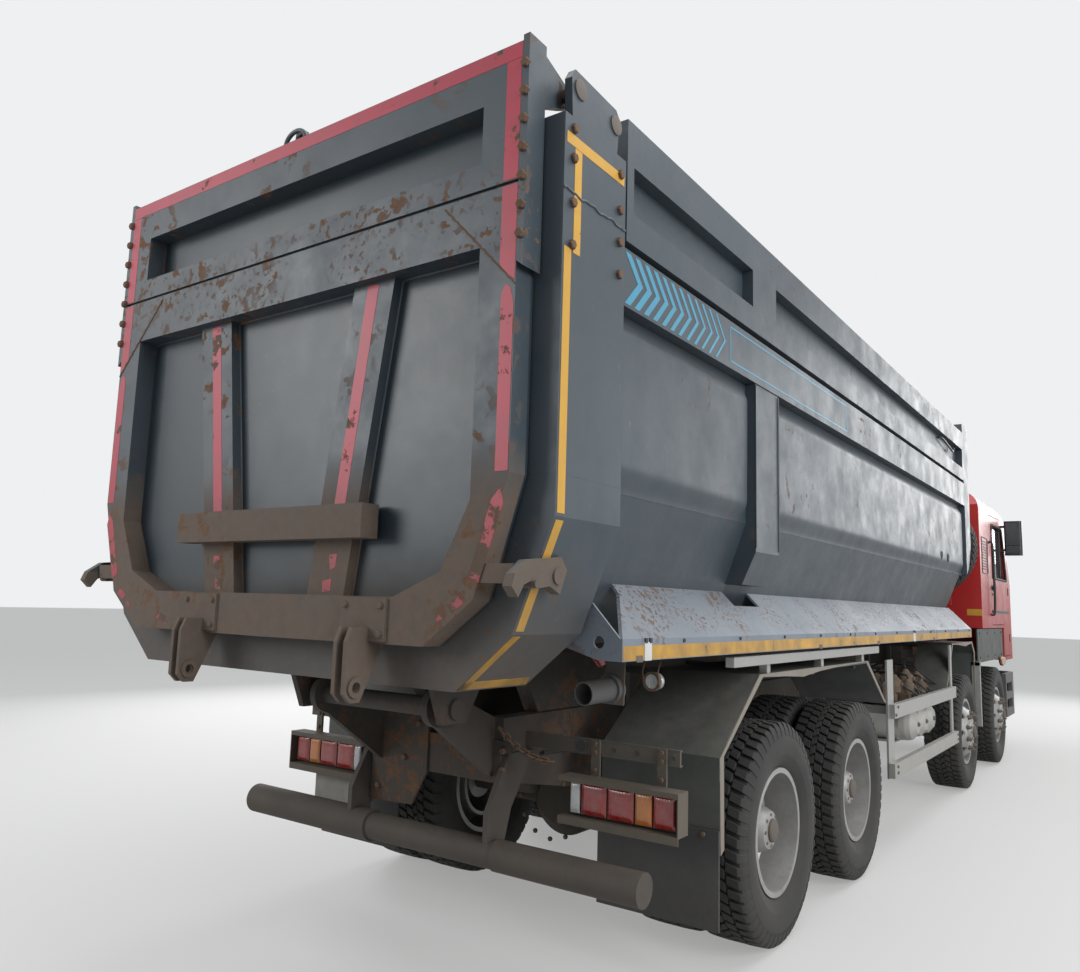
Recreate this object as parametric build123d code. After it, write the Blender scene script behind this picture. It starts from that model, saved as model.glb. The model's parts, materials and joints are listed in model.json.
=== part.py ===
from build123d import *
import os
from math import atan2, cos, degrees, hypot, radians, sin

# Rear-tipping dump truck with four axles. Millimetres: X is the truck's right, Y runs forward, Z is up.
# Y is counted from the last axle. At the end everything is shifted so that Y = 0 is the middle of its length.

# Axles and wheels
axle_1_y = 6770.0
axle_2_y = 4910.0
axle_3_y = 1340.0
axle_4_y = 0.0
tyre_radius = 520.0
tyre_width = 310.0
tread_width = 264.0
bead_radius = 286.0
flange_radius = 298.5
rim_width = 254.0
rim_wall = 12.0
front_wheel_x = 1085.0
twin_outer_x = 1075.0
twin_spacing = 345.0
disc_offset = 165.0
kingpin_x = 930.0
kingpin_radius = 25.0
spindle_radius = 45.0
rear_spindle_radius = 55.0
spindle_reach_x = 1190.0
rear_spindle_reach_x = 1130.0
drum_radius = 205.0
hand_hole_count = 8
hand_hole_radius = 30.0
hand_hole_circle = 222.0
running_gap = 0.3
seam_gap = 0.3
knuckle_gap = 6.0
boss_half_height = 80.0
boss_radius = 45.0
front_beam_low_z = 390.0
beam_height = 100.0
axle_tube_radius = 70.0

# Springs
front_spring_x = 430.0
rear_spring_x = 475.0
spring_width = 90.0
leaf_thickness = 18.0
leaf_arc_radius = 4500.0
front_leaf_halves = (720.0, 700.0, 560.0, 400.0, 240.0)
front_spring_top_z = 640.0
rear_leaf_halves = (725.0, 715.0, 600.0, 480.0, 360.0, 240.0)
rear_spring_z = 700.0
rear_flange_x = 560.0

# Chassis frame
rail_outer_x = 400.0
rail_flange = 80.0
rail_wall = 10.0
rail_low_z = 700.0
rail_top_z = 985.0
rail_rear_y = -1180.0
rail_front_y = 8000.0
subframe_top_z = 1080.0
subframe_front_y = 5250.0

# Tipping pivot, hoist and their travel
pivot_y = -1550.0
pivot_z = 1150.0
pivot_radius = 40.0
tip_shaft_x = 450.0
tip_angle = 45.0
hoist_foot_y = 5550.0
hoist_foot_z = 1040.0
hoist_member_top_z = 975.0
hoist_head_y = 5450.0
hoist_head_z = 2600.0
hoist_pin_radius = 30.0
barrel_radius = 105.0
barrel_to_head_pin = 133.0

# Load bed
bed_rear_y = -2097.0
bed_front_y = 5000.0
bed_half_width = 1185.0
bed_wall = 15.0
rear_flange_depth = 12.0
rear_flange_width = 30.0
bed_floor_z = 1430.0
bed_bend_z = 1980.0
bed_bend_radius = 430.0
bed_wall_lean = 70.0
bed_top_z = 2880.0
bed_floor_half = 680.0
front_rake = 200.0
front_rake_z = 2300.0
rear_frame_low_z = 1289.0
side_rib_spans = ((-400.0, -100.0),)
hoop_ys = (-700.0, 250.0, 1200.0, 2150.0, 3100.0, 4050.0)
hoop_depth = 75.0
hoop_top_z = 1700.0
hoop_half_width = 1000.0
bed_beam_x = 385.0
bed_rest_gap = 5.0
hinge_plate_x = 1235.0
head_arm_x = 62.0
frame_half_width = 1275.0
corner_post_front_y = -1700.0
corner_post_top_z = bed_top_z + 310.0
extension_rear_y = -1654.0
extension_top_z = bed_top_z + 508.0
rail_band_low_z = bed_top_z - 220.0
side_outer_x = 1255.0
skirt_edge_x = 1275.0
skirt_low_z = 1393.0
skirt_bend_z = 1470.0
skirt_sheet = 10.0
skirt_rear_y = -1670.0
headboard_top_z = bed_top_z + 600.0

# Tailgate
gate_front_y = -2105.0
gate_back_y = -2200.0
gate_plate = 12.0
gate_half_width = 1170.0
gate_low_z = 1430.0
gate_top_z = bed_top_z + 540.0
gate_band_low_z = gate_top_z - 685.0
gate_band_top_z = gate_top_z - 390.0
gate_seam_z = gate_top_z - 494.0
gate_seam_height = 12.0
gate_seam_depth = 12.0
gate_flange = 26.0
gate_pin_y = -1997.0
gate_pin_z = corner_post_top_z + 127.0
gate_pin_radius = 22.0
gate_lug_reach_y = -2300.0
gate_lug_xs = (-370.0, 570.0)

# Cab
cab_rear_y = 5970.0
cab_front_y = 8200.0
cab_half_width = 1225.0
cab_low_z = 1470.0
cab_nose_low_z = 1090.0
cab_roof_z = 2950.0
cab_wall = 60.0
screen_foot_y = 8110.0
screen_foot_z = 1960.0
screen_half_width = 1060.0
grille_half_width = 900.0
grille_slat_zs = (1190.0, 1287.0, 1384.0, 1481.0)
mirror_x = 1270.0
glass_thickness = 8.0
door_gap = 8.0
door_hinge_x = 1225.0
door_hinge_y = 7897.0
cab_hinge_y = 8100.0
cab_hinge_z = 1000.0
cab_pin_radius = 22.0

# Things hung on the chassis
engine_rear_y = 6230.0
engine_front_y = 7430.0
gearbox_rear_y = 5350.0
bumper_front_y = 8230.0
bumper_low_z = 430.0
bumper_top_z = 930.0
step_rear_y = 7450.0
guard_sheet = 12.0
guard_inner_x = 640.0
front_guard_inner_x = 905.0
guard_outer_x = 1220.0
front_guard_outer_x = 1194.0
side_bar_x = 1250.0
air_tank_radius = 135.0
air_tank_length = 580.0
air_tank_inner_x = 520.0
air_tank_z = 700.0
air_tank_ys = (3470.0, 3765.0, 4060.0)
lamp_inner_x = 780.0
lamp_outer_x = 1080.0
lamp_low_z = 560.0
lamp_top_z = 720.0
tow_x = 520.0
tow_z = 600.0
tow_radius = 22.0
underrun_y = -1260.0
underrun_z = 532.0
tail_lamp_y = -1000.0
left_lamp_shift = 115.0
spare_x = 730.0
spare_z = 2310.0
spare_middle_y = 5600.0

# Places counted from the middle of the whole length
length_middle_y = (bumper_front_y + gate_lug_reach_y) / 2


# Small shape helpers


def block(x_low, x_high, y_low, y_high, z_low, z_high):
    """Box between two corners."""
    size = Box(x_high - x_low, y_high - y_low, z_high - z_low)
    return Pos((x_low + x_high) / 2, (y_low + y_high) / 2, (z_low + z_high) / 2) * size


def plate_x(outline, x_low, x_high):
    """Outline of (y, z) points carried from x_low to x_high."""
    face = Plane.YZ * make_face(Polyline(*outline, close=True))
    return Pos(x_low, 0, 0) * extrude(face, amount=x_high - x_low, dir=(1, 0, 0))


def plate_y(outline, y_low, y_high):
    """Outline of (x, z) points carried from y_low to y_high."""
    face = Plane.XZ * make_face(Polyline(*outline, close=True))
    return Pos(0, y_low, 0) * extrude(face, amount=y_high - y_low, dir=(0, 1, 0))


def plate_z(outline, z_low, z_high):
    """Outline of (x, y) points carried from z_low to z_high."""
    face = make_face(Polyline(*outline, close=True))
    return Pos(0, 0, z_low) * extrude(face, amount=z_high - z_low, dir=(0, 0, 1))


def rod_x(x_low, x_high, y, z, radius):
    """Round bar along X."""
    return Pos((x_low + x_high) / 2, y, z) * Rot(0, 90, 0) * Cylinder(radius, x_high - x_low)


def rod_y(y_low, y_high, x, z, radius):
    """Round bar along Y."""
    return Pos(x, (y_low + y_high) / 2, z) * Rot(90, 0, 0) * Cylinder(radius, y_high - y_low)


def rod_z(z_low, z_high, x, y, radius):
    """Round bar along Z."""
    return Pos(x, y, (z_low + z_high) / 2) * Cylinder(radius, z_high - z_low)


def turned_x(profile):
    """Profile of (x, radius) points turned about the X axis."""
    return revolve(make_face(Polyline(*profile, close=True)), axis=Axis.X)


def mirrored(points):
    """Outline that starts at the middle line, finished with its mirror image."""
    return list(points) + [(-x, other) for x, other in reversed(points) if x != 0]


def left_of(shape):
    """The same shape on the truck's other side."""
    return mirror(shape, about=Plane.YZ)


def joined(pieces):
    """Pieces welded to one solid, or to several where they don't touch."""
    total = pieces[0]
    for piece in pieces[1:]:
        total = total + piece
    return total


def both_sides(pieces):
    """A list of pieces and their mirror images."""
    return list(pieces) + [left_of(piece) for piece in pieces]


def strip_outline(path, thickness):
    """Outline of a bent sheet: the path, then the same path moved to its left with mitred corners."""
    moved = []
    for index, point in enumerate(path):
        before = path[max(index - 1, 0)]
        after = path[min(index + 1, len(path) - 1)]
        normals = []
        for start, end in ((before, point), (point, after)):
            run = hypot(end[0] - start[0], end[1] - start[1])
            if run > 0:
                normals.append((-(end[1] - start[1]) / run, (end[0] - start[0]) / run))
        middle = (sum(n[0] for n in normals), sum(n[1] for n in normals))
        scale = thickness / (middle[0] * normals[0][0] + middle[1] * normals[0][1])
        moved.append((point[0] + middle[0] * scale, point[1] + middle[1] * scale))
    return list(path) + moved[::-1]


# Wheels, knuckles and axles

# Half section of a tyre, from bead to crown: (distance from its middle plane, radius)
flange_inner_x = rim_width / 2 - rim_wall
sidewall_radius = (bead_radius + tyre_radius) / 2
tyre_half_section = [
    (flange_inner_x - running_gap, bead_radius),
    (flange_inner_x - running_gap, flange_radius + running_gap),
    (tyre_width / 2, sidewall_radius - 20),
    (tyre_width / 2, sidewall_radius + 25),
    (tread_width / 2 + 6, tyre_radius - 20),
    (tread_width / 2 - 12, tyre_radius),
]


def tyre_ring(x):
    """Tyre standing at x on the axle's line."""
    section = [(-distance, radius) for distance, radius in tyre_half_section]
    section += [(distance, radius) for distance, radius in reversed(tyre_half_section)]
    return Pos(x, 0, 0) * turned_x(section)


def rim_barrel(x):
    """Rim's barrel with its two flanges, seated in the tyre's bore."""
    half = rim_width / 2
    seat = bead_radius - running_gap
    inner = seat - rim_wall
    section = [
        (-half, inner), (half, inner), (half, flange_radius), (flange_inner_x, flange_radius),
        (flange_inner_x, seat), (-flange_inner_x, seat), (-flange_inner_x, flange_radius), (
            -half, flange_radius,
        ),
    ]
    return Pos(x, 0, 0) * turned_x(section)


def rim_disc(x, outward):
    """Dished disc with hand holes; outward is 1 where it bulges away from the truck, -1 where towards it."""
    barrel_inner = bead_radius - running_gap - rim_wall
    face = disc_offset
    section = [
        (60, barrel_inner + 2), (face, 178), (face, 60), (face - 14, 60), (face - 14, 172), (
            46, barrel_inner + 2,
        ),
    ]
    if outward < 0:
        section = [(-distance, radius) for distance, radius in section]
    disc = turned_x(section)
    holes = [
        Rot(360 / hand_hole_count * index, 0, 0) * rod_x(
            -disc_offset - 20, disc_offset + 20, 0, hand_hole_circle, hand_hole_radius,
        )
        for index in range(hand_hole_count)
    ]
    return Pos(x, 0, 0) * (disc - joined(holes))


def front_rim():
    """Rim, disc, hub and brake drum of a steered wheel, its middle plane at x = 0."""
    bore = spindle_radius + running_gap
    spindle_end = spindle_reach_x - front_wheel_x
    hub = turned_x([
        (-64, bore), (spindle_end + 4, bore), (spindle_end + 4, 0), (disc_offset + 26, 0), (
            disc_offset + 26, 58,
        ),
        (disc_offset + 14, 92), (disc_offset, 96), (disc_offset - 14, 140), (disc_offset - 30, 140),
        (40, 112), (-64, 96),
    ])
    drum = turned_x([
        (-104, drum_radius), (-104, drum_radius - 20), (24, drum_radius - 20), (24, 100), (40, 100), (
            40, drum_radius,
        ),
    ])
    return joined([rim_barrel(0), rim_disc(0, 1), hub, drum])


def twin_rims():
    """Both rims of a twin wheel with hub and drum; x = 0 is the outer tyre's middle plane."""
    bore = rear_spindle_radius + running_gap
    inner_x = -twin_spacing
    seat_x = -disc_offset
    spindle_end = rear_spindle_reach_x - twin_outer_x
    hub = turned_x([
        (inner_x - 60, bore), (spindle_end + 4, bore), (spindle_end + 4, 0), (92, 0), (92, 60), (84, 88), (
            20, 118,
        ),
        (seat_x + 40, 122), (seat_x, 150), (seat_x - 20, 150), (inner_x - 60, 110),
    ])
    drum = turned_x([
        (inner_x - 110, drum_radius), (inner_x - 110, drum_radius - 20), (inner_x + 92, drum_radius - 20),
        (inner_x + 92, 100), (inner_x + 112, 100), (inner_x + 112, drum_radius),
    ])
    return joined([rim_barrel(0), rim_disc(0, -1), rim_barrel(inner_x), rim_disc(inner_x, 1), hub, drum])


def knuckle(axle_y):
    """Right-hand knuckle: fork round the axle's boss, plate and spindle."""
    arm_out_x = kingpin_x + boss_radius + 2 * knuckle_gap + 22
    plate_in_x = kingpin_x + boss_radius + 2 * knuckle_gap
    low = tyre_radius - boss_half_height - knuckle_gap
    top = tyre_radius + boss_half_height + knuckle_gap
    arms = [
        block(
            kingpin_x - boss_radius, arm_out_x, axle_y - boss_radius, axle_y + boss_radius, z_low,
            z_low + 32,
        )
        for z_low in (low - 32, top)
    ]
    plate = block(plate_in_x, arm_out_x, axle_y - 68, axle_y + 68, low - 32, top + 32)
    spindle = rod_x(arm_out_x, spindle_reach_x, axle_y, tyre_radius, spindle_radius)
    bore = rod_z(low - 40, top + 40, kingpin_x, axle_y, kingpin_radius + running_gap)
    return joined(arms + [plate, spindle]) - bore


def front_axle(axle_y):
    """Dropped beam with a boss and a kingpin at each end and a pad under each spring."""
    low = front_beam_low_z
    boss_low = tyre_radius - boss_half_height
    boss_top = tyre_radius + boss_half_height
    pad_top = front_spring_top_z - leaf_thickness * len(front_leaf_halves) - running_gap
    beam = plate_y(mirrored([
        (0, low), (600, low), (790, boss_low), (kingpin_x, boss_low), (kingpin_x, boss_top), (850, boss_top),
        (790, boss_top - 30), (600, low + beam_height), (0, low + beam_height),
    ]), axle_y - 40, axle_y + 40)
    ends = [
        rod_z(boss_low, boss_top, kingpin_x, axle_y, boss_radius),
        rod_z(boss_low - 40, boss_top + 40, kingpin_x, axle_y, kingpin_radius),
        block(front_spring_x - 45, front_spring_x + 45, axle_y - 90, axle_y + 90, low + beam_height, pad_top),
    ]
    return joined([beam] + both_sides(ends))


def rear_axle(axle_y):
    """Driven axle: tube, spindles, bowl of the final drive and its pinion nose."""
    bowl = revolve(
        make_face(Polyline((0, -150), (130, -150), (205, -70), (205, 70), (110, 170), (95, 300), (0, 300), close=True)),
        axis=Axis.Y,
    )
    tube = rod_x(-rear_flange_x, rear_flange_x, axle_y, tyre_radius, axle_tube_radius)
    spindle = rod_x(rear_flange_x, rear_spindle_reach_x, axle_y, tyre_radius, rear_spindle_radius)
    half_span = (axle_3_y - axle_4_y) / 2
    seat_top = rear_spring_z - arc_rise(leaf_arc_radius, half_span + 40) - running_gap
    seat = block(rear_spring_x - 50, rear_spring_x + 50, axle_y - 40, axle_y + 40, tyre_radius, seat_top)
    return joined([tube, Pos(0, axle_y, tyre_radius) * bowl] + both_sides([spindle, seat]))


def arc_rise(radius, distance):
    """How far an arc of that radius has left its tangent at a distance along it."""
    return radius - (radius ** 2 - distance ** 2) ** 0.5


def leaf(middle_y, middle_z, half_length, level, upturned):
    """One leaf between two arcs; level counts leaves away from the longest, which starts at middle_z."""
    side = 1 if upturned else -1
    reach = half_length / leaf_arc_radius
    bands = []
    for band in (leaf_arc_radius + level * leaf_thickness, leaf_arc_radius + (level + 1) * leaf_thickness):
        bands.append([(middle_y + band * sin(angle), middle_z + side * (leaf_arc_radius - band * cos(angle)))
                      for angle in (-reach, 0, reach)])
    inner, outer = bands
    edges = [
        ThreePointArc(*inner), Line(inner[2], outer[2]), ThreePointArc(*outer[::-1]), Line(
            outer[0], inner[0],
        ),
    ]
    return Plane.YZ * make_face(edges)


def leaf_pack(x, middle_y, middle_z, half_lengths, upturned):
    """Leaves of falling length on one another, spring_width wide."""
    leaves = []
    for level, half_length in enumerate(half_lengths):
        face = leaf(middle_y, middle_z, half_length, level, upturned)
        leaves.append(Pos(x - spring_width / 2, 0, 0) * extrude(face, amount=spring_width, dir=(1, 0, 0)))
    return joined(leaves)


def front_spring(axle_y):
    """Pack over a front axle with its clamp, and the two hangers that hold its ends to the rail."""
    pack = leaf_pack(front_spring_x, axle_y, front_spring_top_z, front_leaf_halves, True)
    x_low = front_spring_x - spring_width / 2
    x_high = front_spring_x + spring_width / 2
    pieces = [pack, block(x_low - 8, x_high + 8, axle_y - 80, axle_y + 80, front_spring_top_z - 5, front_spring_top_z + 22)]
    for side in (-1, 1):
        end_y = axle_y + side * (front_leaf_halves[0] - 45)
        end_z = front_spring_top_z + arc_rise(leaf_arc_radius, front_leaf_halves[0] - 45)
        pieces.append(plate_x([
            (end_y - 60, rail_low_z), (end_y + 60, rail_low_z), (end_y + 34, end_z - 40), (
                end_y - 34, end_z - 40,
            ),
        ], x_low, x_high))
    return joined(pieces)


def rear_spring():
    """Bogie's pack, its ends on both driven axles and its middle clamped to the trunnion bracket."""
    middle_y = (axle_3_y + axle_4_y) / 2
    pack = leaf_pack(rear_spring_x, middle_y, rear_spring_z, rear_leaf_halves, False)
    x_low = rear_spring_x - spring_width / 2
    x_high = rear_spring_x + spring_width / 2
    top_z = rear_spring_z + leaf_thickness * len(rear_leaf_halves)
    bracket = plate_x([
        (middle_y - 230, rail_low_z + 190), (middle_y + 230, rail_low_z + 190), (
            middle_y + 120, rear_spring_z - 130,
        ),
        (middle_y - 120, rear_spring_z - 130),
    ], rail_outer_x, x_low)
    pieces = [
        pack, bracket,
        block(x_low - 6, x_high + 10, middle_y - 110, middle_y + 110, rear_spring_z - 60, rear_spring_z + 4),
        block(x_low - 6, x_high + 10, middle_y - 90, middle_y + 90, top_z - 6, top_z + 24),
        rod_x(rail_outer_x, x_high + 30, middle_y, rear_spring_z - 90, 62),
    ]
    return joined(pieces)


# Chassis

# Cross members of the ladder frame: middle y, lowest z, highest z, length along the truck
cross_members = [
    (rail_rear_y + 40, 800.0, 975.0, 80.0),
    (-420.0, 830.0, 975.0, 70.0),
    (670.0, 860.0, 975.0, 160.0),
    (1950.0, 830.0, 975.0, 70.0),
    (3000.0, 830.0, 975.0, 70.0),
    (4150.0, 830.0, 975.0, 70.0),
    (hoist_foot_y, 850.0, hoist_member_top_z, 170.0),
    (rail_front_y - 40, 720.0, 975.0, 80.0),
]


def chassis_rail():
    """Channel that opens inwards, tapered up towards its rear end, with the plain subframe beam on it."""
    inner_x = rail_outer_x - rail_flange
    rail = block(inner_x, rail_outer_x, rail_rear_y, rail_front_y, rail_low_z, rail_top_z)
    hollow = block(
        inner_x - 1, rail_outer_x - rail_wall, rail_rear_y - 1, rail_front_y + 1,
        rail_low_z + rail_wall, rail_top_z - rail_wall)
    tail = plate_x([
        (rail_rear_y - 1, rail_low_z - 1), (axle_4_y - 560, rail_low_z - 1), (
            rail_rear_y - 1, rail_low_z + 110,
        ),
    ], inner_x - 1, rail_outer_x + 1)
    beam = plate_x([
        (rail_rear_y, rail_top_z), (subframe_front_y + 80, rail_top_z), (
            subframe_front_y - 60, subframe_top_z,
        ),
        (rail_rear_y, subframe_top_z),
    ], inner_x, rail_outer_x)
    return (rail - hollow - tail) + beam


def tip_bracket():
    """Plate at the rail's rear end that carries the tipping shaft in its round end."""
    reach = pivot_radius + 40
    x_low = rail_outer_x - rail_flange
    plate = plate_x([
        (rail_rear_y + 160, rail_low_z + 130), (rail_rear_y + 160, subframe_top_z), (
            rail_rear_y, subframe_top_z,
        ),
        (pivot_y + 40, pivot_z + reach - 15), (pivot_y - 70, pivot_z - 35), (
            rail_rear_y - 20, rail_low_z + 130,
        ),
    ], x_low, x_low + 34)
    return plate + rod_x(x_low, x_low + 34, pivot_y, pivot_z, reach)


# Unlike plates over the rear ends of the right and the left rail: (x, z)
rail_end_outlines = [
    [(285, 985), (455, 985), (455, 934), (399, 932), (399, 822), (285, 825)],
    [(-385, 1055), (-30, 1055), (-30, 800), (-120, 640), (-385, 630)],
]


def chassis_frame():
    """Ladder frame with subframe, tipping shaft, hoist foot, cab stand and cab hinge brackets."""
    inner = rail_outer_x - rail_wall
    members = [
        block(-inner, inner, y - length / 2, y + length / 2, z_low, z_high)
        for y, z_low, z_high, length in cross_members
    ]
    side_pieces = [
        chassis_rail(), tip_bracket(),
        block(rail_outer_x - 55, rail_outer_x, cab_rear_y + 20, cab_rear_y + 90, rail_top_z, cab_low_z - 5),
        plate_x([
            (rail_front_y - 120, rail_top_z - 60), (rail_front_y - 120, rail_top_z), (
                cab_hinge_y - 30, cab_hinge_z + 45,
            ),
            (cab_hinge_y + 30, cab_hinge_z + 45), (cab_hinge_y + 45, cab_hinge_z), (
                cab_hinge_y, cab_hinge_z - 60,
            ),
        ], rail_outer_x - 40, rail_outer_x),
        rod_x(rail_outer_x - 10, rail_outer_x + 60, cab_hinge_y, cab_hinge_z, cab_pin_radius),
        plate_x([
            (hoist_foot_y - 80, hoist_member_top_z), (hoist_foot_y + 80, hoist_member_top_z),
            (hoist_foot_y + 42, hoist_foot_z + 58), (hoist_foot_y - 42, hoist_foot_z + 58),
        ], barrel_radius + 12, barrel_radius + 42),
    ]
    middle_pieces = [
        rod_x(-tip_shaft_x, tip_shaft_x, pivot_y, pivot_z, pivot_radius),
        rod_x(-barrel_radius - 42, barrel_radius + 42, hoist_foot_y, hoist_foot_z, hoist_pin_radius),
        block(
            -rail_outer_x + 55, rail_outer_x - 55, cab_rear_y + 20, cab_rear_y + 90, cab_low_z - 75,
            cab_low_z - 5,
        ),
    ]
    end_plates = [plate_y(outline, rail_rear_y - 12, rail_rear_y) for outline in rail_end_outlines]
    return joined(members + both_sides(side_pieces) + middle_pieces + end_plates)


def drive_line():
    """Engine with gearbox as plain blocks, and the shafts to the two driven axles."""
    shaft_z = tyre_radius + 100
    engine = plate_y([
        (-250, 560), (250, 560), (318, 760), (318, 1180), (240, 1400), (-240, 1400), (-318, 1180), (
            -318, 760,
        ),
    ], engine_rear_y, engine_front_y)
    gearbox = plate_y([
        (-150, 500), (150, 500), (220, 600), (220, 760), (140, 835), (-140, 835), (-220, 760), (-220, 600),
    ], gearbox_rear_y, engine_rear_y)
    mounts = [
        block(318, rail_outer_x - rail_wall, y, y + 120, 840, 900)
        for y in (engine_rear_y + 150, engine_front_y - 270)
    ]
    bearing = plate_y(mirrored([(0, shaft_z - 20), (70, shaft_z), (70, 830), (0, 830)]), 2960, 3040)
    shafts = [
        rod_y(axle_3_y + 320, gearbox_rear_y, 0, shaft_z, 50),
        rod_y(axle_4_y + 300, axle_3_y - 150, 0, tyre_radius, 45),
        block(-60, 60, axle_3_y + 300, axle_3_y + 330, tyre_radius - 60, shaft_z + 60),
    ]
    return joined([engine, gearbox, bearing] + both_sides(mounts) + shafts)


def front_bumper():
    """Bumper bar with its side returns, lamp pockets and the two steps below each door."""
    front_y = bumper_front_y
    low, top = bumper_low_z, bumper_top_z
    half = cab_half_width
    bar = plate_z(mirrored([
        (0, front_y), (half - 260, front_y), (half - 60, front_y - 70), (half, front_y - 170),
        (half, step_rear_y), (half - 45, step_rear_y), (half - 45, front_y - 190), (half - 280, front_y - 70),
        (0, front_y - 70),
    ]), low, top)
    beam = block(-half + 45, half - 45, rail_front_y, rail_front_y + 60, tow_z - 40, rail_low_z + 160)
    webs = [block(x, x + 20, rail_front_y + 60, front_y - 70, 700, rail_low_z + 160) for x in (380, 720)]
    treads = [
        block(half - 250, half - 45, step_rear_y, rail_front_y, z, z + 30) for z in (low, low + 230)
    ]
    side_box = block(half - 270, half - 250, step_rear_y, rail_front_y, low, top)
    slot = block(half - 50, half + 5, step_rear_y + 60, rail_front_y - 60, low + 90, low + 200)
    slot_high = block(half - 50, half + 5, step_rear_y + 60, rail_front_y - 60, low + 280, low + 390)
    pocket = block(lamp_inner_x, lamp_outer_x, front_y - 71, front_y + 1, lamp_low_z, lamp_top_z)
    tow_lug = block(tow_x - 55, tow_x + 55, rail_front_y + 30, front_y + 0, tow_z - 20, tow_z + 20)
    tow_bore = rod_z(tow_z - 30, tow_z + 30, tow_x, front_y - 45, tow_radius)
    tow_window = block(tow_x - 70, tow_x + 70, front_y - 90, front_y + 1, low - 1, tow_z + 80)
    shell = joined([bar, beam] + both_sides(webs + treads + [side_box]))
    for cut in both_sides([slot, slot_high, pocket, tow_window]):
        shell = shell - cut
    return joined([shell] + both_sides([tow_lug - tow_bore]))


def front_lamps():
    """Head lamp blocks seated in the bumper's pockets."""
    lamp = block(lamp_inner_x, lamp_outer_x, bumper_front_y - 70, bumper_front_y - 12, lamp_low_z, lamp_top_z)
    return Compound(both_sides([lamp]))


def fuel_tank():
    """Left-hand tank with rounded edges on two bracket plates."""
    tank = block(-1150, -520, 2350, 3450, 480, 1000)
    tank = fillet(tank.edges().filter_by(Axis.Y), 90)
    brackets = [block(-530, -rail_outer_x, y, y + 40, 720, 960) for y in (2600, 3150)]
    straps = []
    for y in (2595, 3145):
        strap = block(-1153, -517, y, y + 50, 477, 1003)
        straps.append(fillet(strap.edges().filter_by(Axis.Y), 93))
    cap = rod_z(995, 1030, -1040, 3340, 45)
    return joined([tank, cap] + straps + brackets)


def air_tank(y):
    """Cross-wise tank with dished ends."""
    radius = air_tank_radius
    return Pos(air_tank_inner_x, y, air_tank_z) * turned_x([
        (0, 0), (0, radius * 0.55), (40, radius * 0.93), (80, radius), (air_tank_length - 80, radius),
        (air_tank_length - 40, radius * 0.93), (air_tank_length, radius * 0.55), (air_tank_length, 0),
    ])


def air_tanks():
    """Row of brake tanks."""
    return Compound([air_tank(y) for y in air_tank_ys])


def side_guards():
    """Side bars on posts, their arms from the rails, and the shelf under the right-hand tanks."""
    inner_x = side_bar_x - 40
    pieces = [
        block(inner_x, side_bar_x, 2100, 4280, 876, 970),
        block(inner_x, side_bar_x, 2070, 4330, 484, 580),
        block(inner_x - 14, inner_x - seam_gap, 2080, 2240, 477, 1270),
        block(inner_x - 14, inner_x - seam_gap, 4258, 4330, 548, 1328),
        block(rail_outer_x, inner_x - 14 - seam_gap, 2130, 2190, 900, 950),
        block(rail_outer_x, inner_x - 14 - seam_gap, 4270, 4320, 900, 950),
    ]
    shelf_z = air_tank_z - air_tank_radius - running_gap
    shelf = joined([
        block(
            rail_outer_x, air_tank_inner_x + 420, air_tank_ys[0] - 105, air_tank_ys[-1] + 105,
            shelf_z - 16, shelf_z,
        ),
        block(
            rail_outer_x, rail_outer_x + 14, air_tank_ys[0] - 105, air_tank_ys[-1] + 105, shelf_z - 16,
            960,
        ),
    ])
    return Compound(both_sides(pieces) + [shelf])


# Mudguards: inner x, outer x and the sheet's path in (y, z), from its rear foot over the top to its front
mudguard_paths = [
    (
        guard_inner_x, guard_outer_x,
        [(-726.0, 600.0), (-726.0, 951.0), (-280.0, 1268.0), (1560.0, 1268.0), (1980.0, 985.0)],
    ),
    (
        front_guard_inner_x, front_guard_outer_x,
        [(4113.0, 886.0), (4465.0, 1323.0), (5480.0, 1323.0), (5600.0, 1224.0), (5600.0, 511.0)],
    ),
]
# Stays of the mudguards: y and the sheet's underside there
mudguard_stays = [(-150.0, 1268.0), (670.0, 1268.0), (1480.0, 1268.0), (4560.0, 1323.0), (5380.0, 1323.0)]


def mudguards():
    """Bent sheets over the wheels, their stays and the fender behind the first axle."""
    pieces = []
    for inner_x, outer_x, path in mudguard_paths:
        outline = strip_outline(path, guard_sheet)
        sheet = plate_x(outline, inner_x, outer_x)
        for inner, outer in list(zip(outline, reversed(outline)))[1:len(path) - 1]:
            dy, dz = (outer[0] - inner[0]) * 0.5, (outer[1] - inner[1]) * 0.5
            sheet = sheet - plate_x([
                (inner[0] - dy, inner[1] - dz), (outer[0] + dy, outer[1] + dz),
                (outer[0] + dy, outer[1] + dz + seam_gap), (inner[0] - dy, inner[1] - dz + seam_gap),
            ], inner_x - 1, outer_x + 1)
        pieces.append(sheet)
    for y, contact_z in mudguard_stays:
        under_z = contact_z - seam_gap
        pieces.append(block(rail_outer_x, guard_outer_x - 60, y - 20, y + 20, under_z - 32, under_z))
        pieces.append(block(rail_outer_x, rail_outer_x + 36, y - 20, y + 20, rail_top_z - 90, under_z - 32))
    fender = [
        block(front_guard_inner_x, guard_outer_x - 5, 5700, 7380, 1120, 1132),
        block(guard_outer_x - 17, guard_outer_x - 5, 5700, 7380, 1132, cab_low_z - 8),
        block(rail_outer_x, front_guard_inner_x + 40, 5960, 6000, 1085, 1120),
        block(rail_outer_x, rail_outer_x + 36, 5960, 6000, rail_top_z - 90, 1085),
        block(rail_outer_x, front_guard_inner_x + 40, 7320, 7360, 1085, 1120),
        block(rail_outer_x, rail_outer_x + 36, 7320, 7360, rail_top_z - 90, 1085),
    ]
    half = joined(pieces)
    front = joined(fender)
    return Compound([half, left_of(half), front, left_of(front)])


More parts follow.
